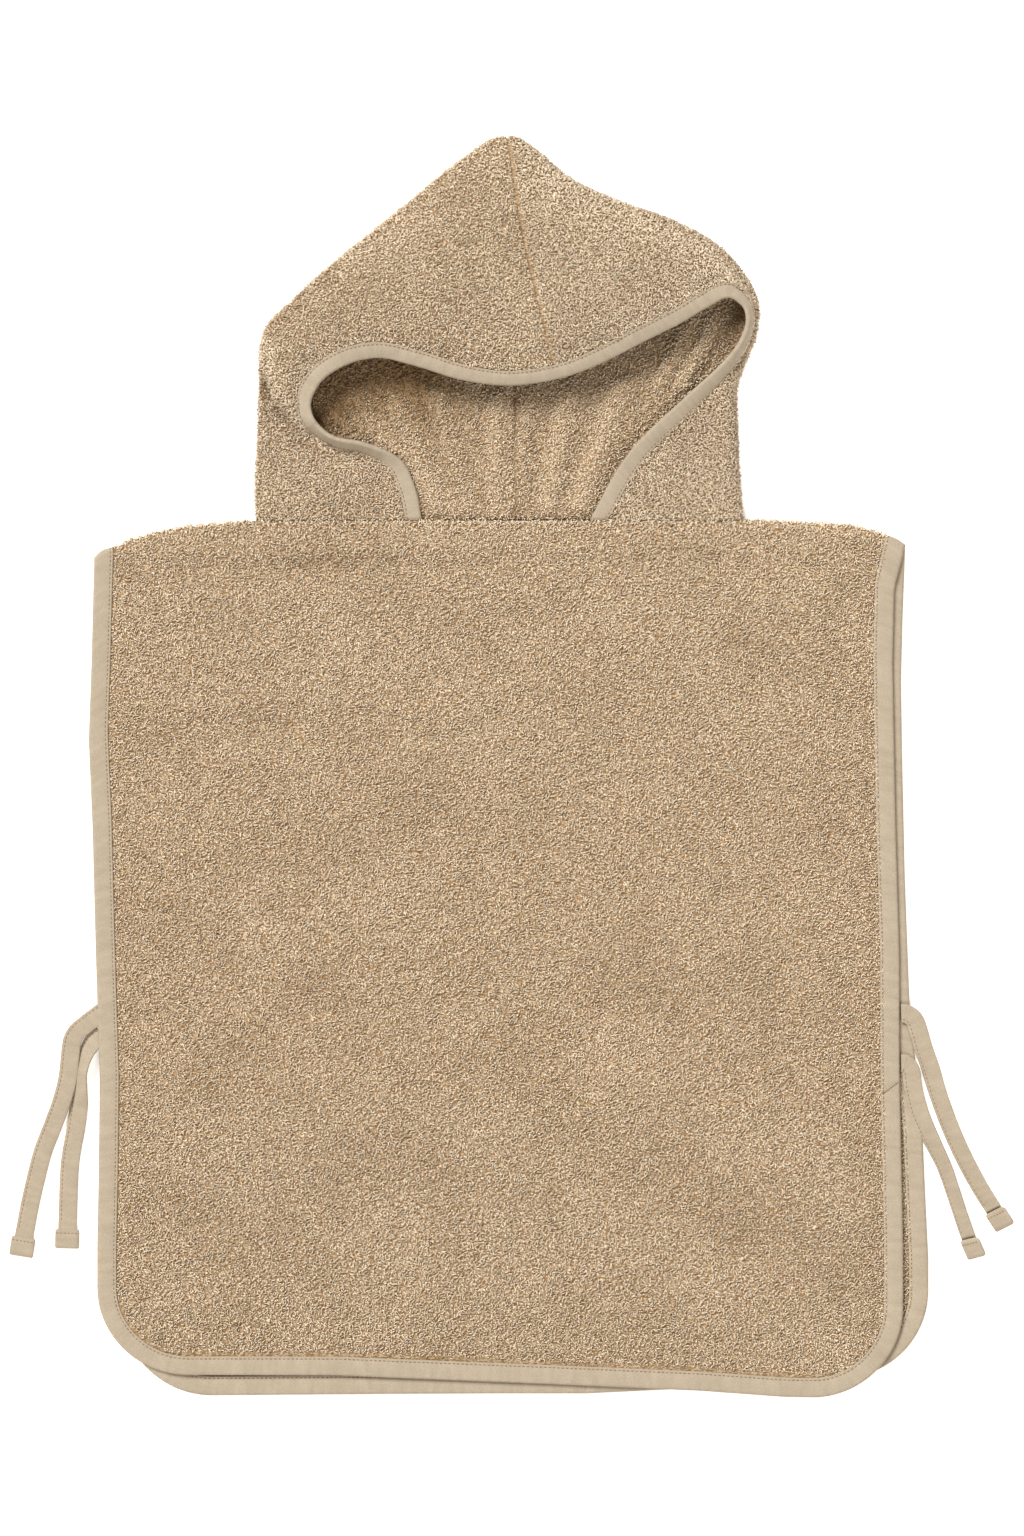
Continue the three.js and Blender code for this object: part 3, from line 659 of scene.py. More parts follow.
def tape_relief(inset, height, along, reach, joins):
    """What sewing does to the tape: a groove at the stitches, a soft belly and small puckers.

    Each join is a ridge across it: height * exp(-((along - place - slope * inset) / width)^2).
    """
    groove = -0.28 * np.exp(-(((inset - reach + STITCH_MARGIN) / 0.8) ** 2))
    belly = 0.22 * smooth(inset, 1, 5) * (1 - smooth(inset, reach - 6, reach - 2))
    pull = np.sin(along / 2.3 + 1.9 * np.sin(along / 13)) * np.sin(along / 31 + 0.7)
    pucker = 0.13 * pull * smooth(inset, 2, 8) * (1 - smooth(inset, reach - 1.5, reach))
    for place, slope, rise, width in joins:
        pucker = pucker + rise * np.exp(-(((along - place - slope * inset) / width) ** 2))
    return np.sign(height) * (groove + belly + pucker) * (np.abs(height) > TAPE_SPREAD * 0.95)


def tape_wall(name, grid, along, inset):
    """A folded tape from its middle points."""
    half = np.full(grid.shape[:2], TAPE / 2)
    cloth = np.stack(np.broadcast_arrays(along[:, None], np.cumsum(np.abs(np.gradient(inset)))), -1) * MM
    return wall(name, grid, grid_normals(grid), half, WOVEN_TAPE, cloth)


# The front tape's join crosses it slanting, from its fold down to its inner edge
JOIN_RUN = 219.5
JOIN_SLOPE = -0.9
PANEL_LEGS = np.array([PANEL_TAPE, 12.5, 11.6, 10.8, 9, 7, 5, 3])


def panel_tape(panel):
    """Tape down the left side, round the corner, along the hem and up the right side."""
    near_join = JOIN_RUN + np.linspace(-14, 6, 25)
    runs = np.sort(np.concatenate([spaced(CORNER, RUN, 5.5), near_join]))
    runs = np.concatenate([runs, RUN + np.linspace(0, 0.94, 7)[1:]])
    angle = np.linspace(0, math.pi / 2, 26)[1:-1]
    inset, height = tape_section(PANEL_LEGS)
    corner_run = CORNER - (CORNER - inset) * np.cos(angle)[:, None]
    corner_in = CORNER - (CORNER - inset) * np.sin(angle)[:, None]
    side_run = np.broadcast_to(runs[:, None], (len(runs), len(inset)))
    hem_x = spaced(side_x(panel, "left", 0) + CORNER, side_x(panel, "right", 0) - CORNER, 5.5)
    hem_x = np.sort(np.concatenate([hem_x, 60 + np.linspace(-3, 3, 9)]))
    hem_x = np.broadcast_to(hem_x[:, None], (len(hem_x), len(inset)))
    x = np.concatenate([
        (side_x(panel, "left", side_run) + inset)[::-1],
        (side_x(panel, "left", corner_run) + corner_in)[::-1], hem_x,
        side_x(panel, "right", corner_run) - corner_in, side_x(panel, "right", side_run) - inset])
    run = np.concatenate([side_run[::-1], corner_run[::-1], np.broadcast_to(inset, hem_x.shape),
                          corner_run, side_run])
    mid, normal = panel_frame(panel, x, run)
    along = distances(mid[:, 0])
    if panel is FRONT:
        place = np.interp(JOIN_RUN, side_run[:, 0], along[-len(runs):])
        slope = JOIN_SLOPE
    else:
        place = along[np.argmin(np.hypot(*(mid[:, 0, :2] - (60, -602)).T))]
        slope = 0.0
    relief = tape_relief(inset, height, along[:, None], PANEL_TAPE, [(place, slope, -0.55, 0.9)])
    low = height < -TAPE_SPREAD * 0.95
    relief = np.where(low & (panel is BACK), 0, relief)
    grid = mid + normal * (height + relief)[..., None]
    at = int(np.argmin(np.abs(PANEL_LEGS - (PANEL_TAPE - STITCH_MARGIN))))
    return grid, along, inset, mid[:, at], normal[:, at]


# One row for each place round the face edge: the edge, brow, crown, outer fold and seam there
HOOD_COLUMNS = "edgeX edgeY edgeZ lead browZ crownZ bow foldX foldY roll seamY"
HOOD_LEFT = [
    (-53, 0.15, NECK_Z, 13, NECK_Z, NECK_Z, 0, -166, 0.15, 2.3, 0.15),
    (-57, 21, 7.5, 11, 6.4, 6.3, 0, -167, 21, 2.4, 21),
    (-68, 42, 11, 8, 6.8, 6.6, 0, -166, 43, 2.5, 42),
    (-93, 52.5, 16.5, 5, 7, 6.8, 0, -165, 62, 2.6, 60),
    (-112, 56, 18.5, 5, 7, 7, -1.5, -164.5, 80, 2.8, 76),
    (-121, 61.5, 19, 5, 8, 7.2, -3, -163.5, 97, 3.2, 90),
    (-127.5, 70, 19.5, 7, 11.5, 13, -5, -163.5, 108, 5, 100),
    (-129, 79, 19.5, 9, 15, 18, -1, -163, 118, 6.5, 110),
    (-124.5, 90, 22, 10, 20, 22, 0, -160, 131, 7.5, 122),
    (-109, 103, 25, 11, 26, 26, 0, -141, 151, 7.5, 143),
    (-84, 110, 25.5, 11, 29, 27, 0, -117, 173, 7, 167),
    (-57, 104.3, 26, 11, 28.5, 28, 0, -90, 195, 6.5, 191),
    (-26, 95, 25, 9.5, 27, 28, 0, -59, 220, 6, 215),
    (8, 91.2, 24.3, 9, 26.5, 27, 0, -27, 246, 5, 240),
]
HOOD_TOP_SEAM = [(39.3, 95.5, 24.3, 9.5, 26.5, 26, -3, 5, 264, 4, 254)]
HOOD_RIGHT = [
    (62.5, 0.15, NECK_Z, 13, NECK_Z, NECK_Z, 0, 167, 0.15, 2.3, 0.15),
    (73.8, 21.6, 8, 12, 6.9, 6.6, 0, 165.5, 20, 2.4, 21),
    (83, 37.5, 10, 11.5, 8, 7.2, 0, 164, 38, 2.6, 38),
    (94, 52, 12, 11, 9, 8, 0, 163.5, 54, 3, 54),
    (107, 65.2, 13.5, 11, 10, 9, 0, 163, 68, 3.4, 69),
    (120, 77, 15, 10, 11.5, 10, 0, 162.5, 81, 3.8, 83),
    (133, 89, 16.5, 9, 12.5, 11.5, 0, 163, 93, 4.2, 95),
    (146.6, 101, 18, 7, 13.5, 12, 0, 166.5, 104, 4.2, 107),
    (157, 111.4, 20, 4.5, 16, 12.5, 0, 171, 115, 3.6, 118),
    (165, 122, 22, 3, 18, 13.5, 0, 175.5, 126.5, 3.3, 128),
    (169.5, 134, 24, 2.5, 20, 14, 0, 177.5, 138, 3.3, 138),
    (168.5, 143.5, 25, 2.5, 21, 15, 0, 177, 151, 3.6, 149),
    (163.5, 148.4, 26, 3.5, 23, 16, 0, 171.5, 163, 4.5, 160),
    (156.4, 151, 26.5, 6, 25, 20, 0, 162, 176, 6, 170),
    (144, 145, 26.5, 11, 28, 25, 0, 147, 190, 7, 181),
    (126, 134.5, 26, 13, 29, 27, 0, 119, 205, 7, 196),
    (100, 121.5, 25.5, 13, 29, 28, 0, 82, 218.5, 6.5, 215),
    (72, 107.3, 24.5, 10.5, 27, 27.5, 0, 50, 233, 5.5, 235),
]
RIPPLES = table(RIDGE_COLUMNS, [
    (-72, 78, -40, 4, 3.4, 8), (-44, 84, -20, 0, 3.0, 6), (-2, 84, -2, 0, 3.6, 6),
    (20, 84, 14, 20, 2.4, 5), (48, 88, 32, 0, 3.4, 7), (84, 92, 56, 12, 3.0, 7),
    (134, 138, 111, 95, 3.4, 4), (147, 136, 126, 92, 4.0, 5), (-100, 84, -78, 50, 2.6, 8),
])
# The lip where the upper layer's fold lies over the skirt at the left, and the trough beside it; both raise
# the cloth and are also painted, the lip as highlight and the trough as shade
LIP = table(RIDGE_COLUMNS, [
    (-152, 116, -151, 99, 1.6, 5), (-151, 99, -142, 80, 2.2, 4.5), (-142, 80, -131, 66, 2.0, 4)])
UNDER_LIP = table(RIDGE_COLUMNS, [
    (-162, 104, -160, 92, -1.2, 7), (-160, 92, -151, 72, -1.8, 7), (-151, 72, -140, 56, -1.8, 7),
    (-140, 56, -118, 46, -1.4, 7)])
SEAM_X = 9.7
ROW_STEPS = 6
FOLD_COLUMNS = 14
HOOD_LEGS = np.array([HOOD_TAPE, 10.6, 9.7, 8.8, 6.8, 5.1, 3.5])
HOOD_NEAR = np.concatenate([[TERRY_INSET], HOOD_LEGS[::-1]])


def through(knots, values, at):
    """Cubic pieces through values at knots, whose slopes come from the neighbours."""
    slope = np.gradient(values, knots, axis=0)
    i = np.clip(np.searchsorted(knots, at, side="right") - 1, 0, len(knots) - 2)
    width = (knots[i + 1] - knots[i])[:, None]
    t = (at - knots[i])[:, None] / width
    return ((2 * t ** 3 - 3 * t ** 2 + 1) * values[i] + (t ** 3 - 2 * t ** 2 + t) * width * slope[i]
            + (3 * t ** 2 - 2 * t ** 3) * values[i + 1] + (t ** 3 - t ** 2) * width * slope[i + 1])


def bent_line(points, at):
    """A centripetal curve through each row's points, read at span numbers like 2.5."""
    first = 2 * points[:, :1] - points[:, 1:2]
    last = 2 * points[:, -1:] - points[:, -2:-1]
    padded = np.concatenate([first, points, last], axis=1)
    i = np.minimum(at.astype(int), points.shape[1] - 2)
    t = (at - i)[None, :, None]
    p0, p1, p2, p3 = [padded[:, i + k] for k in range(4)]
    d0, d1, d2 = [np.sqrt(np.maximum(np.linalg.norm(b - a, axis=-1, keepdims=True), 1e-4))
                  for a, b in ((p0, p1), (p1, p2), (p2, p3))]
    m1 = d1 * ((p1 - p0) / d0 - (p2 - p0) / (d0 + d1) + (p2 - p1) / d1)
    m2 = d1 * ((p2 - p1) / d1 - (p3 - p1) / (d1 + d2) + (p3 - p2) / d2)
    return (p1 + m1 * t + (3 * (p2 - p1) - 2 * m1 - m2) * t ** 2
            + (2 * (p1 - p2) + m1 + m2) * t ** 3)


def hood_shade(points, normal, inside):
    """How much painted light or shade the hood's loops get.

    Outside: painted shade in the trough under the lip, a painted highlight along the lip, painted shade
    where it turns to the window, and 0.1 darker overall. Inside: a painted shadow within
    exp(-(distance below the brim / 42)^2) of the brim, most at the left and at most 0.72; painted shade
    in the ripples' troughs and a painted highlight on their crests; a painted highlight left of the
    seam and painted shade along its right side.
    """
    x, y = points[..., 0], points[..., 1]
    if not inside:
        return 0.11 * ridges(UNDER_LIP, x, y) + 0.05 * ridges(LIP, x, y) + painted_window_shade(-normal) - 0.1
    brim = np.array(HOOD_LEFT[7:] + HOOD_TOP_SEAM + HOOD_RIGHT[:10:-1])
    below = np.interp(x, brim[:, 0], brim[:, 1]) - y
    aside = x - SEAM_X
    seam = 0.2 * np.exp(-(((aside + 3) / 3) ** 2)) - 0.5 * np.exp(-(((aside - 2.2) / 1.9) ** 2))
    share = lerp(1.15, 0.08, smooth(x, -80, -10)) + 0.12 * smooth(x, 90, 130)
    painted_brim_shadow = np.exp(-((np.maximum(below, 0) / 42) ** 2))
    return 0.11 * (ridges(RIPPLES, x, y) - 1.3) + seam - np.minimum(share * painted_brim_shadow, 0.72)


def hood_grid():
    """Middle points of the hood: rows round the face edge, columns from the edge to the seam.

    Each row is a curve through its edge, brow, crown, outer fold and seam, and ROW_STEPS rows lie
    between two rows of the lists, on cubic pieces through them.
    """
    rows = np.array(HOOD_LEFT + HOOD_TOP_SEAM + HOOD_RIGHT[::-1], float)
    knots = distances(rows[:, :2]) + distances(rows[:, 7:9])
    top = len(HOOD_LEFT)
    even = np.arange((len(rows) - 1) * ROW_STEPS + 1) / ROW_STEPS
    index = np.sort(np.concatenate([even, top + np.array([-0.1, -0.06, -0.03, 0.03, 0.06, 0.1])]))
    at = np.interp(index, np.arange(len(rows)), knots)
    row = table(HOOD_COLUMNS, through(knots, rows, at))
    edge_xy = np.stack([row["edgeX"], row["edgeY"]], -1)
    fold_xy = np.stack([row["foldX"], row["foldY"]], -1)
    way = np.gradient(edge_xy, axis=0)
    outward = unit(np.stack([-way[:, 1], way[:, 0]], -1))
    straight = unit(fold_xy - edge_xy)
    near_neck = (1 - smooth(row["edgeY"], 0, 14))[:, None]
    outward = unit(lerp(outward, straight, near_neck))
    reach = np.linalg.norm(edge_xy - fold_xy, axis=1)
    room = np.minimum(row["roll"], 0.35 * (reach - TERRY / 2))
    inward = -straight

    def from_fold(distance, z):
        return np.column_stack([fold_xy + inward * distance[:, None], z])

    base = np.full(len(at), TERRY / 2)
    edge = np.column_stack([edge_xy, row["edgeZ"]])
    brow = np.column_stack([edge_xy + outward * row["lead"][:, None], row["browZ"]])
    upper = from_fold(base + room, base + 2 * row["roll"])
    side = from_fold(base, base + row["roll"])
    lower = from_fold(base + row["roll"], base)
    crown = lerp(brow, upper, 0.6)
    crown[:, 0] -= row["bow"] * inward[:, 1]
    crown[:, 1] += row["bow"] * inward[:, 0]
    crown[:, 2] = row["crownZ"]
    seam_x = lerp(SEAM_X, 6.0, smooth(row["seamY"], 150, 254))
    seam = np.column_stack([seam_x, row["seamY"], base])
    controls = np.stack([edge, brow, crown, upper, side, lower, seam], axis=1)

    fine = bent_line(controls, np.linspace(0, 3, 160))
    lengths = distances(fine)
    shares = np.linspace(0, 1, 25)[1:]
    at_brim = np.exp(-(((row["edgeX"] - 25) / 50) ** 2)) * smooth(row["edgeY"], 70, 88)
    narrowed = TERRY_INSET + (HOOD_NEAR - TERRY_INSET) * (1 - 0.16 * at_brim[:, None])
    wanted = np.concatenate([narrowed, lerp(HOOD_TAPE, lengths[:, -1:], shares)], axis=1)
    front = np.stack([line_points(*row_line) for row_line in zip(fine, lengths, wanted)])
    for relief in (LIP, UNDER_LIP):
        front[..., 2] += ridges(relief, front[..., 0], front[..., 1])
    fold = bent_line(controls, np.linspace(3, 5, FOLD_COLUMNS + 1)[1:])
    fold[..., 2] = np.maximum(fold[..., 2], TERRY / 2)
    back_share = 1 - (1 - np.linspace(0, 1, 41)[1:]) ** 1.3
    back = lerp(lower[:, None], seam[:, None], back_share[None, :, None])
    back[..., 2] += ridges(RIPPLES, back[..., 0], back[..., 1]) * smooth(back[..., 1], 0, 14)
    aside = back[..., 0] - seam_x[:, None]
    back[..., 2] += 0.9 * np.exp(-((np.abs(aside) - 3) / 2) ** 2) * smooth(back[..., 1], 0, 14)
    grid = np.concatenate([front, fold, back], axis=1)
    back_start = len(HOOD_NEAR) + len(shares) + FOLD_COLUMNS
    return grid, back_start, int(np.searchsorted(index, top))


def hood_pieces():
    """Each half's middle points, normals, half thickness and sewn places, and the whole grid."""
    grid, back_start, seam = hood_grid()
    normal = grid_normals(grid)
    normal[:, -1] = (0, 0, 1)
    half = half_terry(TERRY_INSET + distances(grid))
    off = unit(np.cross(normal[seam], np.gradient(grid[seam], axis=0)))
    halves = {}
    for name, rows, sign in (("left", slice(0, seam + 1), -1), ("right", slice(seam, None), 1)):
        mid = grid[rows].copy()
        mine = -1 if name == "left" else 0
        mid[:, -1, 0] += sign * SEWN_GAP / 2
        mid[mine] = grid[seam] + off * (sign * SEWN_GAP / 2)
        from_seam = np.linalg.norm(grid[rows] - grid[seam], axis=-1)
        squeeze = 1 - 0.35 * np.exp(-((from_seam / 2.6) ** 2))
        sewn = from_seam < 1.3
        sewn[:, -1:] = True
        halves[name] = (mid, normal[rows], half[rows] * squeeze, sewn)
    return halves, grid, normal, back_start


def face_tape(grid, normal):
    """The face tape, made from the hood's own edge points moved out."""
    inset, height = tape_section(HOOD_LEGS)
    column = np.argmin(np.abs(HOOD_NEAR - np.maximum(inset, TERRY_INSET)[:, None]), axis=1)
    outward = unit(grid[:, 0] - grid[:, 1])
    past = np.maximum(HOOD_NEAR[column] - inset, 0)
    along = distances(grid[:, 0])
    kinks = [(along[np.argmin(np.hypot(*(grid[:, 0, :2] - (x, y)).T))], slope, -0.7, 1.8)
             for x, y, slope in ((-74, 109, 0.8), (94, 116, -0.7), (156, 151, 0.6), (-112, 56, 0.4))]
    relief = tape_relief(inset, height, along[:, None], HOOD_TAPE, kinks)
    points = (grid[:, column] + outward[:, None] * past[:, None]
              + normal[:, column] * (height + relief)[..., None])
    at = int(np.argmin(np.abs(HOOD_NEAR - (HOOD_TAPE - STITCH_MARGIN))))
    return points, along, inset, grid[:, at], normal[:, at]


# The middle line of each tie from its root, as x, y, z and its tilt in degrees
TIES = {
    "tie_front_left": [
        (-273, -338.2, 5.9, 0), (-279.5, -343, 6.0, 0), (-285, -347.3, 5.9, 0),
        (-290.4, -351.8, 5.6, 0), (-293.8, -357.5, 5.0, 0), (-295.2, -366, 4.4, 0),
        (-297.4, -385, 4.2, 0), (-302, -402, 3.8, 0),
        (-308, -418, 2, 0), (-314.6, -435, 0.9, 0), (-318.8, -451, 0.9, 0), (-322.9, -468.5, 0.9, 0),
        (-327, -490, 0.9, 0), (-329.8, -507, 1.5, 0)],
    "tie_back_left": [
        (-273.5, -354.5, 4.2, 0), (-279.5, -359, 4.2, 12), (-283.5, -365, 3.6, 30),
        (-286.5, -373, 3.4, 42), (-288.4, -382, 3.4, 44), (-289, -393, 2.6, 30), (-289.8, -404, 1.4, 8),
        (-292, -420, 0.9, 0), (-293.9, -430, 0.9, 0),
        (-296, -444, 0.9, 0), (-297.4, -479, 0.9, 0), (-298, -501.6, 1.5, 0)],
    "tie_front_right": [
        (277, -339.5, 5.8, 0), (280, -339.5, 5.7, 0), (285.5, -343, 5.3, 0), (289.4, -353, 5, 0),
        (292.2, -363, 4.8, 6), (297.4, -377.4, 3.4, 16), (302.9, -396, 1.6, 24), (312.6, -422, 0.9, 28),
        (322.9, -444, 0.9, 30), (332.6, -461.6, 0.9, 32), (340.9, -474.7, 0.9, 35),
        (348.5, -486.5, 1.5, 37)],
    "tie_back_right": [
        (277, -374, 5.8, 0), (280, -374.1, 5.5, 0), (283.6, -378.6, 5.1, 0), (284.8, -387, 4.9, 0),
        (286.6, -397, 4.9, 8), (290.5, -410, 4.9, 20), (298.8, -428.5, 4.8, 34), (306.4, -444.4, 3.6, 43),
        (311.9, -460, 3.6, 46), (317.4, -476.8, 3.6, 47), (322.9, -492.7, 3, 47), (329, -507, 2.4, 46)],
}
# Places across a tie, and the one that its edge stitches follow
TIE_SHARES = np.array([-1, -0.97, -0.88, -0.74, -0.68, -0.6, -0.3, 0, 0.3, 0.6, 0.88, 0.97, 1])
TIE_STITCHED = 4


def tie(rows):
    """A flat band along a curve through its rows, with a thicker tab where its end is turned up.

    Its half thickness is rounded off at both edges and dips along the stitched line and at the
    tab's stitches, each as 1 - depth * exp(-(distance / width)^2).
    """
    points = np.array(rows, float)
    spans = len(points) - 1
    line = bent_line(points[None, :, :3], np.linspace(0, spans, 900))[0]
    length = distances(line)
    total = length[-1]
    tab = total - TAB_LENGTH
    at = np.concatenate([spaced(0, tab - 0.6, 2.5), tab + np.array([-0.2, 0.2, 0.6, 1.2]),
                         spaced(tab + 2.5, total - 0.8, 1.8), [total - 0.3, total]])
    centre = line_points(line, length, at)
    tilt = np.radians(np.interp(np.interp(at, length, np.linspace(0, spans, 900)),
                                np.arange(spans + 1), points[:, 3]))
    is_tab = smooth(at, tab - 0.3, tab + 0.8)
    end = smooth(at, total - 1.0, total)
    width = lerp(TIE_WIDTH, TAB_WIDTH, is_tab) - 0.8 * end
    thick = lerp(TIE_THICKNESS, TAB_THICKNESS, is_tab) - 0.9 * end
    centre[:, 2] = np.maximum(centre[:, 2], thick / 2 + np.sin(tilt) * width / 2)
    way = unit(np.gradient(centre, at, axis=0))
    level = unit(np.column_stack([-way[:, 1], way[:, 0], np.zeros(len(at))])) * np.cos(tilt)[:, None]
    level[:, 2] = np.sin(tilt)
    share = TIE_SHARES
    round_off = np.sqrt(1 - 0.75 * np.abs(share) ** 14)
    off_stitches = share - share[TIE_STITCHED]
    groove = 1 - 0.22 * np.exp(-((off_stitches / 0.07) ** 2)) * (1 - is_tab[:, None])
    flutter = 1 + 0.05 * np.sin(at / 5 + 2 * np.sin(at / 17))[:, None] * np.abs(share)
    sewn = np.exp(-(((at - tab - 2.2) / 0.9) ** 2))[:, None] * 0.16
    grid = centre[:, None] + level[:, None] * (share[None, :, None] * width[:, None, None] / 2)
    half = thick[:, None] / 2 * round_off * groove * flutter * (1 - sewn)
    cloth = np.stack([np.broadcast_to(at[:, None], half.shape),
                      share[None, :] * width[:, None] / 2], -1) * MM
    return grid, half, cloth, at, tab


def dress(piece, node=None):
    """Every piece rides on the one body, and stands for its node."""
    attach(piece, "root")
    if node:
        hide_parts(node)
    return piece


def build_panels():
    """Both terry panels with their loops, tapes and stitches."""
    for panel, fine in ((BACK, 12.0), (FRONT, 5.2)):
        name = panel["name"]
        mid, normal, half = terry_panel(panel, fine)
        # Painted shade: the pile is coloured darker in the creases' troughs
        crease_shade = 0.055 * ridges(CREASES, mid[..., 0], mid[..., 1])
        # The ground takes a share of the pile's tone: painted shade between the loops
        tone = (pile(mid) + crease_shade) * GROUND_SHADE
        terry = wall(f"{name}_terry", mid, normal, half, TERRY_GROUND, tone=tone)
        dress(terry, f"{name}_panel")
        top = mid + normal * half[..., None]
        under_tape = edge_distance(panel, mid[..., 0], panel_run(panel, mid)) < PANEL_TAPE + 0.4
        thin = np.where(under_tape, 0.0, 1.0)
        if panel is FRONT:
            past_roll = mid[..., 1] - roll_start(mid[..., 0])
            thick = np.where(past_roll > 1, 2.0, 1.0) * thin
            standing = np.where(past_roll > 1, FOLD_STANDING, STANDING)
            # Painted highlight on the shoulder roll, and painted shade where the front turns to the window
            crease_shade = crease_shade + 0.13 * smooth(past_roll, -9, -2) + painted_window_shade(normal)
            cuts = [0, *np.searchsorted(mid[:, 0, 1], THIRDS_Y), len(mid)]
            extras = []
            for seed, (first, last) in enumerate(zip(cuts, cuts[1:]), 1):
                part = slice(first, last + 1)
                extras.append(loops(f"front_loops_{seed}", top[part], THIRD_LOOPS, seed, thick[part],
                                    crease_shade[part], standing[part]))
        else:
            covered = np.minimum(mid[..., 1] - COVERED_HEM, COVERED_RIGHT - mid[..., 0]) >= 0
            showing = np.where(covered, 0.02, 1.0)
            extras = [loops("back_loops", top, BACK_LOOPS, 5, thin * showing)]
        grid, along, inset, path, up = panel_tape(panel)
        tape = dress(tape_wall(f"{name}_tape", grid, along, inset), f"{name}_binding")
        sewn = [dress(stitches(f"{name}_tape_stitches", path + up * STITCH_SEAT, up))]
        if panel is FRONT:
            in_from = np.linspace(1.0, PANEL_TAPE - 0.4, 15)
            run = JOIN_RUN + JOIN_SLOPE * in_from
            path, up = panel_frame(panel, side_x(panel, "right", run) - in_from, run)
            join = stitches("front_join_stitches", path + up * (UNDER_TAPE + 0.05), up, 1.4, 1.0)
            sewn.append(dress(join))
        along[-1] * MM


def build_hood():
    """The hood's halves with their loops, the face tape and its stitches."""
    halves, grid, normal, back_start = hood_pieces()
    for seed, (side, (mid, out, half, sewn)) in enumerate(halves.items(), 11):
        inner_shade = hood_shade(mid, out, True)
        outer_shade = hood_shade(mid, out, False)
        column = np.arange(mid.shape[1])[None, :]
        behind = column > back_start
        # The ground takes a share of the pile's tone: painted shade between the loops
        tone = (pile(mid) + np.where(behind, inner_shade, outer_shade)) * GROUND_SHADE
        terry = wall(f"hood_{side}_terry", mid, out, half, TERRY_GROUND, tone=tone)
        dress(terry, f"hood_{side}")
        bare = (column < len(HOOD_NEAR)) | sewn
        outside = (mid - out * half[..., None])[:, ::-1]
        inside = mid + out * half[..., None]
        on_fold = (column > back_start - FOLD_COLUMNS) & ~behind
        outer_share = np.where(bare | behind, 0.0, np.where(on_fold, 1.3, 1.0))[:, ::-1]
        # Painted shade on the fold's outer loops, where they face the window
        outer_shade = outer_shade - 0.15 * on_fold
        standing = np.where(on_fold, FOLD_STANDING, STANDING)[:, ::-1]
        inner_share = np.where(bare, 0.0, np.where(behind, 1.0, 0.3))
        outer = loops(f"hood_{side}_loops", outside, HOOD_LOOPS, seed, outer_share,
                      outer_shade[:, ::-1], standing)
        inner = loops(f"hood_{side}_lining_loops", inside, LINING_LOOPS, seed + 10, inner_share,
                      inner_shade)
    points, along, inset, path, up = face_tape(grid, normal)
    tape = dress(tape_wall("hood_tape", points, along, inset), "hood_binding")
    lines = [dress(stitches(f"hood_tape_stitches_{label}", path + up * sign * STITCH_SEAT, up * sign)) for label, sign in (("in", 1), ("out", -1))]
    along[-1] * MM


def build_ties():
    """Four ties, each stitched along one edge and across its turned-up end."""
    for name, rows in TIES.items():
        grid, half, cloth, at, tab = tie(rows)
        normal = grid_normals(grid)
        up = normal * np.sign(normal[len(at) // 2, len(TIE_SHARES) // 2, 2])
        band = dress(wall(f"{name}_band", grid, normal, half, WOVEN_TAPE, cloth), name)
        on_band = at < tab - 1
        line, line_up = grid[on_band, TIE_STITCHED], up[on_band, TIE_STITCHED]
        line = line + line_up * (half[on_band, TIE_STITCHED] - 0.1)[:, None]
        across = int(np.argmin(np.abs(at - tab - 2.2)))
        bar = grid[across, 1:-1] + up[across, 1:-1] * (half[across, 1:-1] - 0.1)[:, None]
        extras = [dress(stitches(f"{name}_edge_stitches", line, line_up)),
                  dress(stitches(f"{name}_end_stitches", bar, up[across, 1:-1], 2.6))]
        at[-1] * MM


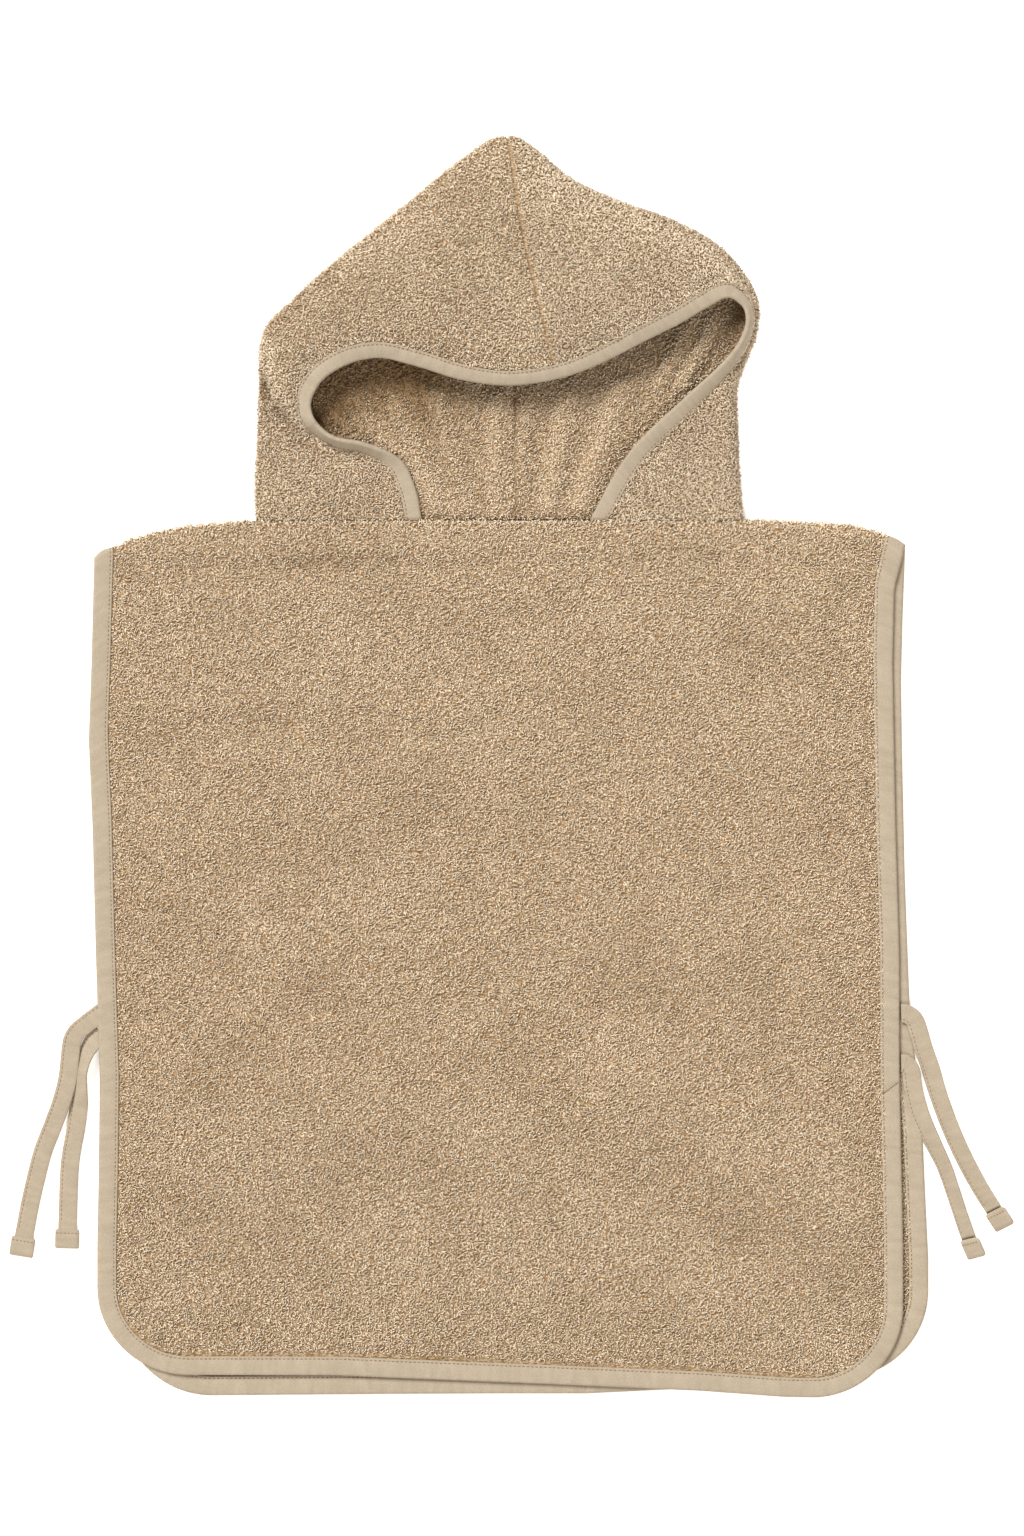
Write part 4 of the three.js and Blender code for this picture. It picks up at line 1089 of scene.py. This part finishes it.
def build_set():
    """Pale table, soft light from above the hood, and a camera straight over the garment."""
    scene = bpy.context.scene
    scene.view_settings.view_transform = "Standard"
    floor = Finish("table_top", 0.9, 0.0)
    place = floor.places()
    floor_colour = floor.mix(floor.noise(place, 400, 1.0), (0.93, 0.93, 0.93, 1), (0.95, 0.95, 0.95, 1))
    floor.tree.links.new(floor_colour.output, floor.shader.inputs["Base Color"])
    floor.shader.inputs["Emission Color"].default_value = (1, 0.97, 0.93, 1)
    floor.shader.inputs["Emission Strength"].default_value = 0.45
    size = 40.0
    mesh = bpy.data.meshes.new("table_top")
    corners = [(x * size, y * size, -0.0005) for x, y in ((-1, -1), (1, -1), (1, 1), (-1, 1))]
    mesh.from_pydata(corners, [], [(0, 1, 2, 3)])
    mesh.materials.append(floor.material)
    table_top = bpy.data.objects.new("table_top", mesh)
    scene.collection.objects.link(table_top)

    world = bpy.data.worlds.new("studio")
    world.use_nodes = True
    background = world.node_tree.nodes["Background"].inputs
    background["Color"].default_value = (1, 0.88, 0.75, 1)
    background["Strength"].default_value = 0.42
    scene.world = world
    # A wide window above and left of the hood, and a weaker one below right: each is tipped down
    # to the table, then turned about Z
    for label, energy, tip, turn in (("window", 4.35, -46, 38), ("far_window", 1.6, 46, 24)):
        lamp = bpy.data.lights.new(label, "SUN")
        lamp.energy = energy
        lamp.angle = math.radians(26)
        lamp.color = (0.99, 0.99, 0.985)
        window = bpy.data.objects.new(label, lamp)
        window.rotation_euler = (math.radians(tip), 0, math.radians(turn))
        scene.collection.objects.link(window)

    photo_scale = 0.69
    photo_size = (1024, 1536)
    neck_pixel = (499, 521)
    look = to_metres(((photo_size[0] / 2 - neck_pixel[0]) * photo_scale,
                      (neck_pixel[1] - photo_size[1] / 2) * photo_scale, 0))
    camera = bpy.data.cameras.new("camera")
    camera.lens = 100
    camera.sensor_width = 36
    camera.sensor_fit = "AUTO"
    height = photo_size[1] * photo_scale * MM * camera.lens / camera.sensor_width
    eye = bpy.data.objects.new("camera", camera)
    eye.location = (look[0], look[1], height)
    scene.collection.objects.link(eye)
    scene.camera = eye


build_panels()
build_hood()
build_ties()
build_set()
